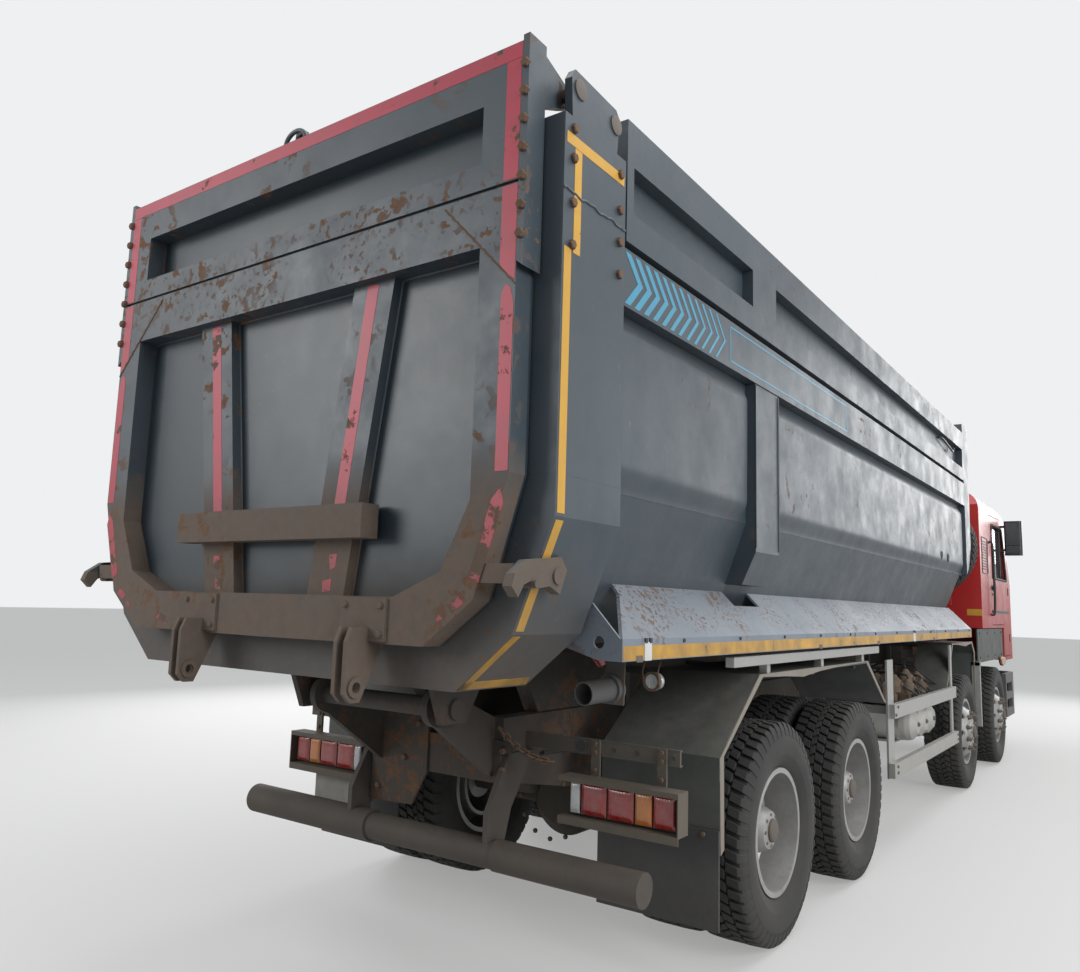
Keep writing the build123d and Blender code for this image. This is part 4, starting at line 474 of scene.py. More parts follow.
# What each CAD node wears
nodeFinishes = {
    "bodyPaint": ["bed_side_frame", "bed_extension", "bed_headboard"],
    "innerSteel": ["bed_tub"],
    "skirtPaint": ["bed_skirts"],
    "shadedGateField": ["gate_panel"],
    "gatePaint": ["gate_frame", "gate_bars"],
    "muddyFrame": ["chassis_frame", "bed_underframe", "spare_carrier", "hoist_barrel"],
    "chassisIron": ["front_axles", "rear_axles", "leaf_springs", "drive_line", "underrun_bar",
        "knuckle_1_r", "knuckle_1_l", "knuckle_2_r", "knuckle_2_l"],
    "bumperGrey": ["front_bumper"],
    "railAluminium": ["fuel_tank", "side_guards"],
    "tankWhite": ["air_tanks"],
    "guardPlastic": ["mudguards"],
    "flapRubber": ["mud_flaps"],
    "blackPlastic": ["cab_trim", "front_lamps"],
    "lampIron": ["tail_lamps"],
    "cabRed": ["cab_shell", "door_r", "door_l"],
    "seatCloth": ["cab_interior"],
    "windowGlass": ["cab_glass", "door_glass_r", "door_glass_l"],
    "hoistChrome": ["hoist_stage_1", "hoist_stage_2", "hoist_stage_3", "hoist_stage_4"],
    "tyreRubber": [n for n in nodes if "tyre" in n],
    "rimSteel": [n for n in nodes if n.startswith("rim")],
}
for finish, names in nodeFinishes.items():
    for name in names:
        nodes[name].data.materials.clear()
        nodes[name].data.materials.append(finishes[finish])


# Mesh tools. A part is (points, groups of faces), each group an array with one face a row
def outward(points, groups):
    # Turns all faces over when the signed volume is negative: the sum of a . (b x c) over all triangles
    points = np.asarray(points, float)
    total = sum(np.sum(points[g[:, 0]][:, None] * np.cross(points[g[:, 1:-1]], points[g[:, 2:]]))
        for g in groups)
    return points, [g[:, ::-1] for g in groups] if total < 0 else groups


def gathered(*parts):
    points, groups, shift = [], [], 0
    for partPoints, partGroups in parts:
        points.append(partPoints)
        groups += [g + shift for g in partGroups]
        shift += len(partPoints)
    return np.concatenate(points), groups


def gridFaces(rows, columns, closedRows=False, closedColumns=False):
    # Quads between neighbours of a rows by columns grid, joined round where closed
    r, c = np.meshgrid(np.arange(rows - (not closedRows)), np.arange(columns - (not closedColumns)),
        indexing="ij")
    nextR, nextC = (r + 1) % rows, (c + 1) % columns
    corners = (r * columns + c, r * columns + nextC, nextR * columns + nextC, nextR * columns + c)
    return np.stack(corners, -1).reshape(-1, 4)


def skinFaces(count, around):
    # Faces of a tube of count rings, with a flat face at each end
    ends = np.array([np.arange(around)[::-1], np.arange(around) + (count - 1) * around])
    return [gridFaces(count, around, closedColumns=True), ends]


def lofted(rings):
    # Closed sections (rings, points, 3) skinned one to the next
    rings = np.asarray(rings, float)
    return outward(rings.reshape(-1, 3), skinFaces(*rings.shape[:2]))


axisOrder = {"X": (2, 0, 1), "Y": (0, 2, 1), "Z": (0, 1, 2)}


def slab(outline, axis, low, high):
    # Flat outline carried along an axis. Its two numbers are the other axes in the order X, Y, Z
    outline = np.asarray(outline, float)
    ends = np.stack([np.column_stack([outline, np.full(len(outline), level)]) for level in (low, high)])
    return lofted(ends[..., axisOrder[axis]])


def cuboid(low, high):
    (x0, y0, z0), (x1, y1, z1) = low, high
    return slab([(x0, y0), (x1, y0), (x1, y1), (x0, y1)], "Z", z0, z1)


def turned(profile, centre=(0, 0, 0), axis="X", steps=48):
    # Closed profile of (along, radius) turned about an axis: point = centre + along a + radius (cos u, sin u)
    profile = np.asarray(profile, float)
    angle = np.linspace(0, 2 * pi, steps, endpoint=False)[:, None]
    along = np.broadcast_to(profile[:, 0], (steps, len(profile)))
    local = np.stack([profile[:, 1] * np.cos(angle), profile[:, 1] * np.sin(angle), along], -1)
    points = local[..., {"X": (2, 0, 1), "Y": (1, 2, 0), "Z": (0, 1, 2)}[axis]] + np.asarray(centre, float)
    return outward(points.reshape(-1, 3), [gridFaces(steps, len(profile), True, True)])


def drum(start, end, radius, inner=0.0):
    # Profile of a plain disc, or of a ring with an inner radius
    return [(start, inner), (start, radius), (end, radius), (end, inner)]


def facing(direction):
    # Turn that carries +Z to a direction
    third = np.asarray(direction, float) / np.linalg.norm(direction)
    first = np.cross((0.0, 0.0, 1.0), third)
    if np.linalg.norm(first) < 1e-6:
        first = np.cross((0.0, 1.0, 0.0), third)
    first = first / np.linalg.norm(first)
    return np.column_stack([first, np.cross(third, first), third])


def placed(part, turn, place=(0, 0, 0)):
    points, groups = part
    return outward(points @ np.asarray(turn).T + np.asarray(place, float), groups)


def copied(part, places, turns=None):
    # The part once at each place, each copy turned by its own matrix where turns are given
    points, groups = part
    places = np.asarray(places, float)
    spun = points[None] if turns is None else np.einsum("nij,kj->nki", turns, points)
    steps = np.arange(len(places))[:, None, None] * len(points)
    return ((spun + places[:, None]).reshape(-1, 3),
        [(g[None] + steps).reshape(-1, g.shape[1]) for g in groups])


def mirroredPart(part):
    points, groups = part
    return points * (-1, 1, 1), [g[:, ::-1] for g in groups]


def bothSides(*parts):
    right = gathered(*parts)
    return gathered(right, mirroredPart(right))


def circle(radius, count, centre=(0.0, 0.0), phase=0.0):
    # Points (a, b) round a circle
    angle = 2 * pi * (np.arange(count) + phase) / count
    return np.column_stack([centre[0] + radius * np.cos(angle), centre[1] + radius * np.sin(angle)])


def swept(path, section, closed=False):
    # Section of (across, up) along a path, upright where it can be: point = path + across side + up rise
    path, section = np.asarray(path, float), np.asarray(section, float)
    ahead = np.roll(path, -1, 0) - np.roll(path, 1, 0) if closed else np.gradient(path, axis=0)
    ahead /= np.linalg.norm(ahead, axis=1, keepdims=True)
    guide = np.array((0.0, 0.0, 1.0)) if abs(ahead[:, 2]).max() < 0.95 else np.array((0.31, 0.95, 0.02))
    if abs(ahead @ guide).max() > 0.98:
        guide = np.array((0.95, 0.31, 0.02))
    side = np.cross(ahead, guide)
    side /= np.linalg.norm(side, axis=1, keepdims=True)
    rise = np.cross(side, ahead)
    rings = path[:, None] + section[None, :, :1] * side[:, None] + section[None, :, 1:] * rise[:, None]
    if closed:
        return outward(rings.reshape(-1, 3), [gridFaces(len(path), len(section), True, True)])
    return lofted(rings)


def smoothPath(points, perRun):
    # Smooth curve through the points. From b to c, with a before and d after them, it is
    # half of 2 b + (c - a) t + (2 a - 5 b + 4 c - d) t^2 + (3 b - a - 3 c + d) t^3, t from 0 to 1
    p = np.asarray(points, float)
    p = np.vstack([2 * p[0] - p[1], p, 2 * p[-1] - p[-2]])
    a, b, c, d = (p[i:len(p) - 3 + i, None] for i in range(4))
    t = np.linspace(0, 1, perRun, endpoint=False)[None, :, None]
    runs = 0.5 * (2 * b + (c - a) * t + (2 * a - 5 * b + 4 * c - d) * t ** 2
        + (3 * b - a - 3 * c + d) * t ** 3)
    return np.vstack([runs.reshape(-1, 3), p[-2:-1]])


def boltHead(radius, height, direction, sides=6):
    # Hexagon head with a chamfered crown, sunk a little into what it holds
    levels = ((-0.3 * height, 1.0), (0.75 * height, 1.0), (height, 0.82))
    head = lofted([np.column_stack([circle(radius * k, sides), np.full(sides, z)]) for z, k in levels])
    return placed(head, facing(direction))


def middleOf(node):
    low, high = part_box(node)
    return np.array((low + high) / 2)


# Places given to at, box, bar, disc and bolts are (x, y, z) with y counted forwards from the last axle
lastAxle = middleOf("tyres_4_r")[1]
rightwards, backwards = (1, 0, 0), (0, -1, 0)


def at(x, y, z):
    return (x, lastAxle + y, z)


def box(x0, x1, y0, y1, z0, z1):
    return cuboid(at(x0, y0, z0), at(x1, y1, z1))


def bar(points, radius, sides=8, curve=0, closed=False):
    # Round bar through the points, on a smooth curve where curve counts the steps of a run
    path = [at(*p) for p in points]
    return swept(smoothPath(path, curve) if curve else path, circle(radius, sides), closed)


def disc(profile, place, axis="X", steps=28):
    return turned(profile, at(*place), axis, steps)


def bolts(places, direction, radius=0.012, height=0.01):
    return copied(boltHead(radius, height, direction), [at(*p) for p in places])


def patch(corners, thickness=0.0009):
    # Flat sheet on a surface: the corners moved both ways along the normal of the first three
    corners = np.array([at(*c) for c in corners])
    normal = np.cross(corners[1] - corners[0], corners[2] - corners[0])
    normal = normal / np.linalg.norm(normal) * thickness
    return lofted([corners - normal, corners + normal])


def sidePatch(x, y0, y1, z0, z1):
    return patch([(x, y0, z0), (x, y1, z0), (x, y1, z1), (x, y0, z1)])


def newPiece(name, part, finish, body, slotName, bevel=0.0, smooth=None, stands=()):
    points, groups = part
    mesh = bpy.data.meshes.new(name)
    mesh.from_pydata(points.tolist(), [], [row for g in groups for row in g.tolist()])
    mesh.update()
    mesh.materials.append(finishes[finish])
    if smooth:
        mesh.polygons.foreach_set("use_smooth", np.ones(len(mesh.polygons), bool))
        mesh.set_sharp_from_angle(angle=radians(smooth))
    piece = addObject(name, mesh)
    if bevel:
        edge = piece.modifiers.new("edge", "BEVEL")
        edge.width, edge.segments, edge.limit_method, edge.angle_limit = bevel, 2, "ANGLE", radians(40)
    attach(piece, body)
    for node in stands:
        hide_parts(node)


def onChassis(name, finish, slotName, *parts, **looks):
    # A piece of the chassis, mirrored to the left
    newPiece(name, bothSides(*parts), finish, "chassis", slotName, **looks)


def onBed(name, finish, *parts, slotName="bed_paint", **looks):
    # A piece of the bed, mirrored to the left
    newPiece(name, bothSides(*parts), finish, "load_bed", slotName, **looks)


def onCab(name, finish, slotName, *parts, **looks):
    # A piece of the cab, as it is
    newPiece(name, gathered(*parts), finish, "cab", slotName, **looks)


# Tyres: a turned carcass with rubber blocks standing on it
tyreLow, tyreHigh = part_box("tyre_1_r")
tyreRadius = (tyreHigh.z - tyreLow.z) / 2
tyreHalf = (tyreHigh.x - tyreLow.x) / 2
tyre = {
    "groove": 0.015, "pitches": 54, "skew": 0.6, "shoulderShare": 0.66,
    "carcassSteps": 96, "turnStep": 0.37,
    # Half section from bead to crown, and shoulder block: (part of the half width, distance below the top)
    "section": ((0.73, 0.2325), (0.745, 0.2205), (0.8, 0.212), (0.895, 0.19), (0.955, 0.162),
        (0.968, 0.158), (0.975, 0.15), (0.998, 0.122), (1.0, 0.105), (0.992, 0.08), (0.978, 0.066),
        (0.968, 0.064), (0.955, 0.05), (0.915, 0.03), (0.86, 0.018), (0.8, 0.0155), (0.4, 0.015)),
    "shoulder": ((0.47, 0.016), (0.47, 0.0006), (0.815, 0.0035), (0.885, 0.012), (0.955, 0.036),
        (0.99, 0.066), (0.955, 0.06), (0.86, 0.024), (0.78, 0.016)),
    # Rows between the shoulders: (centre, half width, phase, share of the pitch, skew)
    "rows": ((0.265, 0.15, 0.5, 0.74, 0.9), (0.0, 0.1, 0.15, 0.7, -1.2)),
}


def treadRow(outline, pitches, share, phase, skew):
    # Blocks of one outline (across, radius):
    # angle = (number + phase) pitch + along share pitch / 2 + skew across
    outline = np.asarray(outline, float)
    core = outline.mean(0)
    ends = ((-1.0, 0.9), (-0.9, 1.0), (0.9, 1.0), (1.0, 0.9))
    rings = np.stack([core + (outline - core) * scale for along, scale in ends])
    pitch = 2 * pi / pitches
    along = np.array([e[0] for e in ends])[None, :, None] * share * pitch / 2
    angle = (np.arange(pitches)[:, None, None] + phase) * pitch + along + skew * rings[None, ..., 0]
    across, radius = (np.broadcast_to(rings[None, ..., k], angle.shape) for k in (0, 1))
    points = np.stack([across, radius * np.cos(angle), radius * np.sin(angle)], -1).reshape(-1, 3)
    count, around = rings.shape[:2]
    steps = np.arange(pitches)[:, None, None] * count * around
    return outward(points, [(g[None] + steps).reshape(-1, g.shape[1]) for g in skinFaces(count, around)])


def treadedTyre(s):
    half = [(across * tyreHalf, tyreRadius - below) for across, below in s["section"]]
    profile = [(-across, radius) for across, radius in half] + half[::-1]
    rows = [turned(profile[::-1], steps=s["carcassSteps"])]
    for side, phase in ((1, 0.0), (-1, 0.35)):
        shoulder = [(side * across * tyreHalf, tyreRadius - below) for across, below in s["shoulder"]]
        rows.append(treadRow(shoulder, s["pitches"], s["shoulderShare"], phase, s["skew"]))
    top, foot = tyreRadius - 0.0003, tyreRadius - s["groove"] - 0.001
    for centre, width, phase, share, skew in s["rows"]:
        for side in ((1, -1) if centre else (1,)):
            low, high = (side * centre - width) * tyreHalf, (side * centre + width) * tyreHalf
            block = [(low, foot), (low + 0.001, top - 0.002), (low + 0.003, top), (high - 0.003, top),
                (high - 0.001, top - 0.002), (high, foot)]
            rows.append(treadRow(block, s["pitches"], share, phase + 0.25 * (side < 0), skew))
    return gathered(*rows)


oneTyre = treadedTyre(tyre)
bodyOf = {node: body for body, members in frame["record"]["behaviour"]["bodies"].items()
    for node in members}
for node in sorted(n for n in nodes if n.startswith("tyre")):
    low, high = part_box(node)
    turnStep = Matrix.Rotation(tyre["turnStep"] * len(node) + low.y, 3, "X")
    centres = [low.x + tyreHalf] if high.x - low.x < 3 * tyreHalf else [low.x + tyreHalf, high.x - tyreHalf]
    parts = [placed(oneTyre, turnStep, (x, *middleOf(node)[1:])) for x in centres]
    newPiece(node + "_tread", gathered(*parts), "tyreRubber", bodyOf[node], "tyre", smooth=32,
        stands=(node,))
sparePart = placed(oneTyre, facing((0, 1, 0)) @ facing(rightwards).T, middleOf("spare_tyre"))
newPiece("spare_tread", sparePart, "tyreRubber", "chassis", "tyre", smooth=32, stands=("spare_tyre",))
print("tyres ready")

# Wheel nuts, hub caps and valves, for the right-hand wheels and their mirror images
wheelTrim = {
    "nuts": 10, "nutCircle": 0.1675, "nutRadius": 0.019, "nutHeight": 0.026,
    "capRadius": 0.054, "hubBolts": 8,
    # Across the wheel: disc's face and hub's end from the middle, the middle from the rim's outer side
    "steered": (0.165, 0.191, 0.191), "driven": (-0.165, 0.092, 0.127),
}


def wheelHardware(node, s):
    low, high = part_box(node)
    side = 1 if high.x > 0 else -1
    face, hub, depth = s["steered" if "1" in node or "2" in node else "driven"]
    outerMiddle = (high.x if side > 0 else -low.x) - depth
    cap = s["capRadius"]

    def ring(x, radius, count, phase=0.0):
        return np.column_stack([np.full(count, x), circle(radius, count, phase=phase)])

    nuts = ring(face, s["nutCircle"], s["nuts"], 0.5)
    # Nut, washer and stud end at each place: (share of the nut's radius, height, sides)
    kinds = ((1.0, s["nutHeight"], 6), (1.3, 0.006, 20), (0.5, s["nutHeight"] + 0.012, 10))
    parts = [copied(boltHead(s["nutRadius"] * k, height, rightwards, sides), nuts)
        for k, height, sides in kinds]
    parts.append(turned([(-0.004, 0.0), (-0.004, cap), (0.01, cap), (0.016, cap * 0.9),
        (0.022, cap * 0.45), (0.023, 0.0)], (hub, 0, 0), steps=40))
    parts.append(copied(boltHead(0.01, 0.009, rightwards), ring(hub - 0.01, cap * 1.32, s["hubBolts"])))
    stem = [(face * 0.4, 0.262, 0.02), (face * 0.6, 0.245, 0.02), (face * 0.72, 0.225, 0.02)]
    parts.append(swept(smoothPath(stem, 4), circle(0.005, 8)))
    part = placed(gathered(*parts), np.eye(3), (outerMiddle, *middleOf(node)[1:]))
    part = part if side > 0 else mirroredPart(part)
    newPiece(node + "_nuts", part, "hubIron", bodyOf[node], "rim_steel", smooth=30)


for node in sorted(n for n in nodes if n.startswith("rim")):
    wheelHardware(node, wheelTrim)
print("wheel nuts ready")


def backed(front, back):
    # Two like grids of points, joined round their edges to a closed sheet
    rows, columns = front.shape[:2]
    count = rows * columns
    grid = gridFaces(rows, columns)
    loop = np.concatenate([np.arange(columns), np.arange(2 * columns - 1, count, columns),
        np.arange(count - 2, count - columns - 1, -1), np.arange(count - 2 * columns, 0, -columns)])
    following = np.roll(loop, -1)
    rim = np.stack([following, loop, loop + count, following + count], -1)
    return outward(np.concatenate([front.reshape(-1, 3), back.reshape(-1, 3)]),
        [grid, grid[:, ::-1] + count, rim])


# Tape and small things on the gate's rear face: (x, z) in metres, the left side a mirror image
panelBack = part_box("gate_panel")[0].y
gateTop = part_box("gate_panel")[1].z
gateTrim = {
    "frameDepth": 0.083, "postDepth": 0.04, "tapeThickness": 0.0009,
    "tapes": {
        "gate_tape": ("redTape", "frame", (
            ((0, 3.418), (1.168, 3.418), (1.168, 3.362), (0, 3.362)),
            ((1.106, 3.36), (1.166, 3.36), (1.166, 2.942), (1.106, 2.942)),
            ((1.104, 2.923), (1.166, 2.923), (1.167, 2.6), (1.14, 2.618), (1.104, 2.66)),
            ((1.114, 2.56), (1.132, 2.59), (1.152, 2.575), (1.165, 2.52), (1.165, 1.985), (1.114, 1.985)))),
        "gate_tape_scraped": ("scrapedTape", "frame", (
            ((1.14, 1.935), (1.152, 1.885), (1.066, 1.64), (1.024, 1.66), (1.106, 1.9)),
            ((0.99, 1.6), (1.01, 1.575), (0.96, 1.545), (0.94, 1.57)),
            ((0.92, 1.545), (0.935, 1.53), (0.905, 1.512), (0.895, 1.53)),
            ((0.66, 1.5), (0.69, 1.48), (0.61, 1.452), (0.6, 1.478)))),
        "gate_post_tape": ("redTape", "post", (
            ((0.452, 2.725), (0.51, 2.725), (0.398, 1.915), (0.34, 1.915)),)),
        "gate_post_tape_scraped": ("scrapedTape", "post", (
            ((0.33, 1.735), (0.372, 1.74), (0.366, 1.69), (0.338, 1.68)),
            ((0.3, 1.64), (0.35, 1.65), (0.345, 1.605), (0.305, 1.6)))),
    },
    "flangeX": 1.183, "boltTop": 3.335, "boltStep": 0.098, "boltCount": 7,
    "boltRadius": 0.017, "boltHeight": 0.014,
    "diagonal": ((0.857, 2.906), (1.169, 2.585)), "beadRadius": 0.004,
    "fieldSeams": (((-1.01, 3.03), (1.01, 3.03)), ((-1.015, 2.735), (1.015, 2.735))), "fieldBead": 0.007,
    "postSeams": (((0.22, 1.59), (0.38, 2.735)), ((0.415, 1.59), (0.59, 2.735))), "postBead": 0.006,
    "ringRadius": 0.062, "ringRise": 0.79, "ringWire": 0.0095, "ringForward": 0.014,
    "lugXs": (-0.37, 0.57), "padSpread": 0.037, "studSpread": 0.085, "studZs": (1.465, 1.56),
}
gateBack = panelBack - gateTrim["frameDepth"]


def onGate(name, finish, *parts, **looks):
    newPiece(name, gathered(*parts), finish, "tailgate", "bed_paint", **looks)


def gateDetails(s):
    y, t = gateBack, s["tapeThickness"]
    for name, (finish, face, outlines) in s["tapes"].items():
        depth = y + (s["postDepth"] if face == "post" else 0.0)
        onGate(name, finish, bothSides(*[slab(outline, "Y", depth - t, depth + t) for outline in outlines]))
    head = boltHead(s["boltRadius"], s["boltHeight"], backwards)
    zs = s["boltTop"] - s["boltStep"] * np.arange(s["boltCount"])
    onGate("gate_flange_bolts", "rustySteel", bothSides(copied(head, [(s["flangeX"], y, z) for z in zs])),
        smooth=30)
    (x0, z0), (x1, z1) = s["diagonal"]
    run = np.linspace(0, 1, 40)
    wobble = 0.0015 * np.sin(97 * run) * np.sin(31 * run)
    diagonal = np.column_stack([x0 + (x1 - x0) * run + wobble, np.full(40, y),
        z0 + (z1 - z0) * run + wobble])
    onGate("gate_weld_seams", "rustySteel", bothSides(swept(diagonal, circle(s["beadRadius"], 8))),
        smooth=60)

    def fillet(start, end, radius):
        (xa, za), (xb, zb) = start, end
        return swept([(xa, panelBack, za), ((xa + xb) / 2, panelBack, (za + zb) / 2), (xb, panelBack, zb)],
            circle(radius, 8))

    # Fillet welds run along the inner corners of both fields and beside the leaning posts
    fields = [fillet(*seam, s["fieldBead"]) for seam in s["fieldSeams"]]
    posts = [bothSides(fillet(*seam, s["postBead"])) for seam in s["postSeams"]]
    onGate("gate_fillet_welds", "gatePaint", *fields, *posts, smooth=60)
    # Lifting ring: a round bar bent over the top edge, (x, z) = radius (cos u, 0.79 sin u) about its own eye
    u = np.linspace(-0.3, pi + 0.3, 25)
    arch = np.column_stack([s["ringRadius"] * np.cos(u), np.full(25, y + s["ringForward"]),
        gateTop + s["ringRadius"] * s["ringRise"] * np.sin(u)])
    onGate("gate_ring", "bodyPaint", swept(arch, circle(s["ringWire"], 12)), smooth=60)
    # Pads and studs of the lower lugs
    parts = []
    for middle in s["lugXs"]:
        studs = [(middle + dx, y - 0.01, z) for dx in (-s["studSpread"], s["studSpread"])
            for z in s["studZs"]]
        pads = [(middle + dx, y - 0.055, 1.29) for dx in (-s["padSpread"], s["padSpread"])]
        parts += [copied(boltHead(0.012, 0.01, backwards), studs),
            copied(turned(drum(-0.004, 0.004, 0.034, 0.018), steps=28), pads)]
    onGate("gate_lug_pads", "gatePaint", *parts, smooth=30)


gateDetails(gateTrim)
print("tailgate ready")

# Corner posts of the bed: bolts, tape and the raised weld where the upper plate is let in
postTrim = {
    "face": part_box("bed_side_frame")[1].x, "rear": -2.097, "front": -1.7,
    "boltColumns": ((-2.045, (3.15, 3.045, 2.89, 2.745)), (-1.742, (3.12, 2.985, 2.865, 2.745))),
    "kneeHigh": (1.275, 1.852), "kneeMiddle": (1.124, 1.482), "kneeLow": (0.893, 1.289), "tapeWidth": 0.042,
    "edgeGap": 0.012, "slopeThickness": 0.0012, "weldZ": 2.925,
}


def postDetails(s):
    x, rear, front, w = s["face"], s["rear"], s["front"], s["tapeWidth"]
    columns = [(x, y, z) for y, zs in s["boltColumns"] for z in zs]
    onBed("post_bolts", "rustySteel", bolts(columns, rightwards, 0.017, 0.013), smooth=30)

    def slope(high, low, fromShare, toShare, y0, y1, y2):
        # Strip down a chamfer between two of its corners, y0 to y1 at its start and y0 to y2 at its end
        (xa, za), (xb, zb) = (np.array(high) + (np.array(low) - high) * share
            for share in (fromShare, toShare))
        return patch([(xa, y0, za), (xa, y1, za), (xb, y2, zb), (xb, y0, zb)], s["slopeThickness"])

    g = rear + s["edgeGap"]
    strips = [sidePatch(x, g, front - 0.012, 3.088, 3.128),
        sidePatch(x, rear + 0.062, rear + 0.062 + w, 2.722, 3.086),
        sidePatch(x, rear + 0.01, rear + 0.01 + w, 1.862, 2.73),
        slope(s["kneeHigh"], s["kneeMiddle"], 0.03, 0.97, g, g + w, g + w),
        slope(s["kneeMiddle"], s["kneeLow"], 0.03, 0.97, g, g + w, g + w),
        slope(s["kneeLow"], s["kneeMiddle"], 0.03, 0.17, g, front - 0.01, front - 0.03)]
    onBed("post_tape", "amberTape", *strips)
    run = np.linspace(0, 1, 24)
    wave = 0.004 * np.sin(19 * run) + 0.003 * np.sin(43 * run)
    weld = np.column_stack([np.full(24, x), rear + (front - rear) * run, s["weldZ"] + wave])
    onBed("post_weld", "bodyPaint", bar(weld, 0.005), smooth=60)


postDetails(postTrim)

# Sides of the bed: pressed sheets between the posts and ribs, and the band under the rail
sideTrim = {
    "wall": 1.2, "bulge": 0.031, "top": 2.657, "low": 1.985, "roll": 0.085, "corner": 0.06, "footRoll": 0.1,
    "bays": ((-1.698, -0.402), (-0.098, 4.996)), "hollow": 0.0022,
    "bandFace": 1.255, "bandLow": 2.664, "bandTop": 2.876, "chevronStart": -1.64, "chevronEnd": -0.76,
    "chevrons": 12, "chevronArm": 0.094, "chevronThick": (0.04, 0.016),
    "frame": (-0.71, 1.08, 2.69, 2.855, 0.007),
}


def smoothStep(value):
    t = np.clip(value, 0, 1)
    return t * t * (3 - 2 * t)


def graded(start, end, edge, *counts):
    # Stations that stand closer within the edge distance of both ends
    stops = (start, start + edge, end - edge, end)
    return np.unique(np.concatenate([np.linspace(a, b, n) for a, b, n in zip(stops, stops[1:], counts)]))


def pressedBay(start, end, s):
    # Sheet over one bay, with smooth steps f and g:
    # x = wall + bulge f(distance to the ends) g(distance to top and foot)
    y = lastAxle + graded(start, end, 0.16, 14, 26, 14)
    z = graded(s["low"], s["top"], 0.14, 10, 12, 14)
    gridY, gridZ = np.meshgrid(y, z, indexing="ij")
    ends = np.minimum(gridY - y[0], y[-1] - gridY) / s["corner"]
    levels = np.minimum((s["top"] - 0.012 - gridZ) / s["roll"], (gridZ - z[0]) / s["footRoll"])
    rise = smoothStep(ends) * smoothStep(levels)
    hollows = s["hollow"] * np.sin(3.1 * gridY + 1.3 * gridZ) * np.sin(5.3 * gridZ + 0.7 * gridY)
    x = s["wall"] + 0.0008 + s["bulge"] * rise + hollows * rise
    sheets = (x, np.full_like(x, s["wall"] - 0.002))
    return backed(*(np.stack([sheet, gridY, gridZ], -1) for sheet in sheets))


def bedSides(s):
    onBed("side_bays", "bodyPaint", *[pressedBay(start, end, s) for start, end in s["bays"]], smooth=45)
    x, arm = s["bandFace"], s["chevronArm"]
    middle, half = (s["bandLow"] + s["bandTop"]) / 2, (s["bandTop"] - s["bandLow"]) / 2 - 0.008
    tips = np.linspace(s["chevronStart"] + arm + 0.02, s["chevronEnd"], s["chevrons"])
    thick = np.linspace(*s["chevronThick"], s["chevrons"])
    arms = [patch([(x, tip, middle), (x, tip - t, middle), (x, tip - arm - t, middle + rise),
        (x, tip - arm, middle + rise)]) for tip, t in zip(tips, thick) for rise in (half, -half)]
    onBed("side_chevrons", "blueTape", *arms)
    y0, y1, z0, z1, w = s["frame"]
    lines = ((y0, y1, z0, z0 + w), (y0, y1, z1 - w, z1), (y0, y0 + w, z0 + w, z1 - w),
        (y1 - w, y1, z0 + w, z1 - w))
    onBed("side_frame_line", "blueTape", *[sidePatch(x, *line) for line in lines])


bedSides(sideTrim)

# Side skirts: tape along the upright edge, its clips, bolts and reflectors
skirtTrim = {"face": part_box("bed_skirts")[1].x, "low": 1.396, "top": 1.446,
    "joints": (-1.668, -0.25, 1.65, 3.4, 4.985), "jointGap": 0.003, "reflectorYs": (-1.49, 2.62),
    "boltZ": 1.459, "boltStep": 0.55}


def skirtDetails(s):
    x, low, top, gap = s["face"], s["low"], s["top"], s["jointGap"]
    strips = [sidePatch(x, a + gap, b - gap, low, top) for a, b in zip(s["joints"], s["joints"][1:])]
    onBed("skirt_tape", "amberTape", *strips, slotName="skirt_paint")
    squares = [box(x - 0.001, x + 0.004, y - 0.026, y + 0.026, low - 0.004, top + 0.012)
        for y in s["reflectorYs"]]
    onBed("skirt_reflectors", "whiteTape", *squares, slotName="skirt_paint", bevel=0.002)
    clips = [box(x - 0.01, x + 0.006, y + dy - 0.008, y + dy + 0.008, top + 0.008, top + 0.026)
        for y in s["reflectorYs"] for dy in (-0.017, 0.017)]
    heads = [(x, y, s["boltZ"]) for y in np.arange(-1.2, 4.9, s["boltStep"])]
    onBed("skirt_clips", "blackPlastic", *clips, bolts(heads, rightwards, 0.008, 0.006),
        slotName="skirt_paint", smooth=30)


skirtDetails(skirtTrim)
print("bed sides ready")

# Rear end of the chassis: lamps, the bar with holes over them, and the blank plate
lampTrim = {
    "rear": -1.082, "inner": 0.693, "low": 0.716, "top": 0.846, "leftShift": 0.115,
    "crown": 0.01, "gap": 0.003,
    "lenses": ((0.054, "clear"), (0.128, "red"), (0.128, "red"), (0.084, "amber"), (0.102, "red")),
    "body": (0.687, 1.195, 0.709, 0.853), "holeBar": (0.65, 1.168, 0.947, 1.011), "barFace": -1.0125,
    "holes": ((0.698, 0.028), (0.865, 0.011), (0.975, 0.013), (1.14, 0.011)),
    "boltXs": (0.778, 1.094), "boltZs": (0.962, 0.998, 0.89),
    "plate": (-0.958, -0.588, -1.0425, -1.0395, 0.535, 0.66),
}


def crownedLens(x0, x1, z0, z1, y, crown):
    # Lens face: y = foot - crown (1 - u^6)(1 - v^6), with u and v from -1 to 1 across it
    u, v = np.meshgrid(np.linspace(-1, 1, 17), np.linspace(-1, 1, 13), indexing="ij")
    x, z = (x0 + x1) / 2 + u * (x1 - x0) / 2, (z0 + z1) / 2 + v * (z1 - z0) / 2
    depth = y - crown * (1 - u ** 6) * (1 - v ** 6)
    return backed(*(np.stack([x, face, z], -1) for face in (depth, np.full_like(x, y + 0.004))))


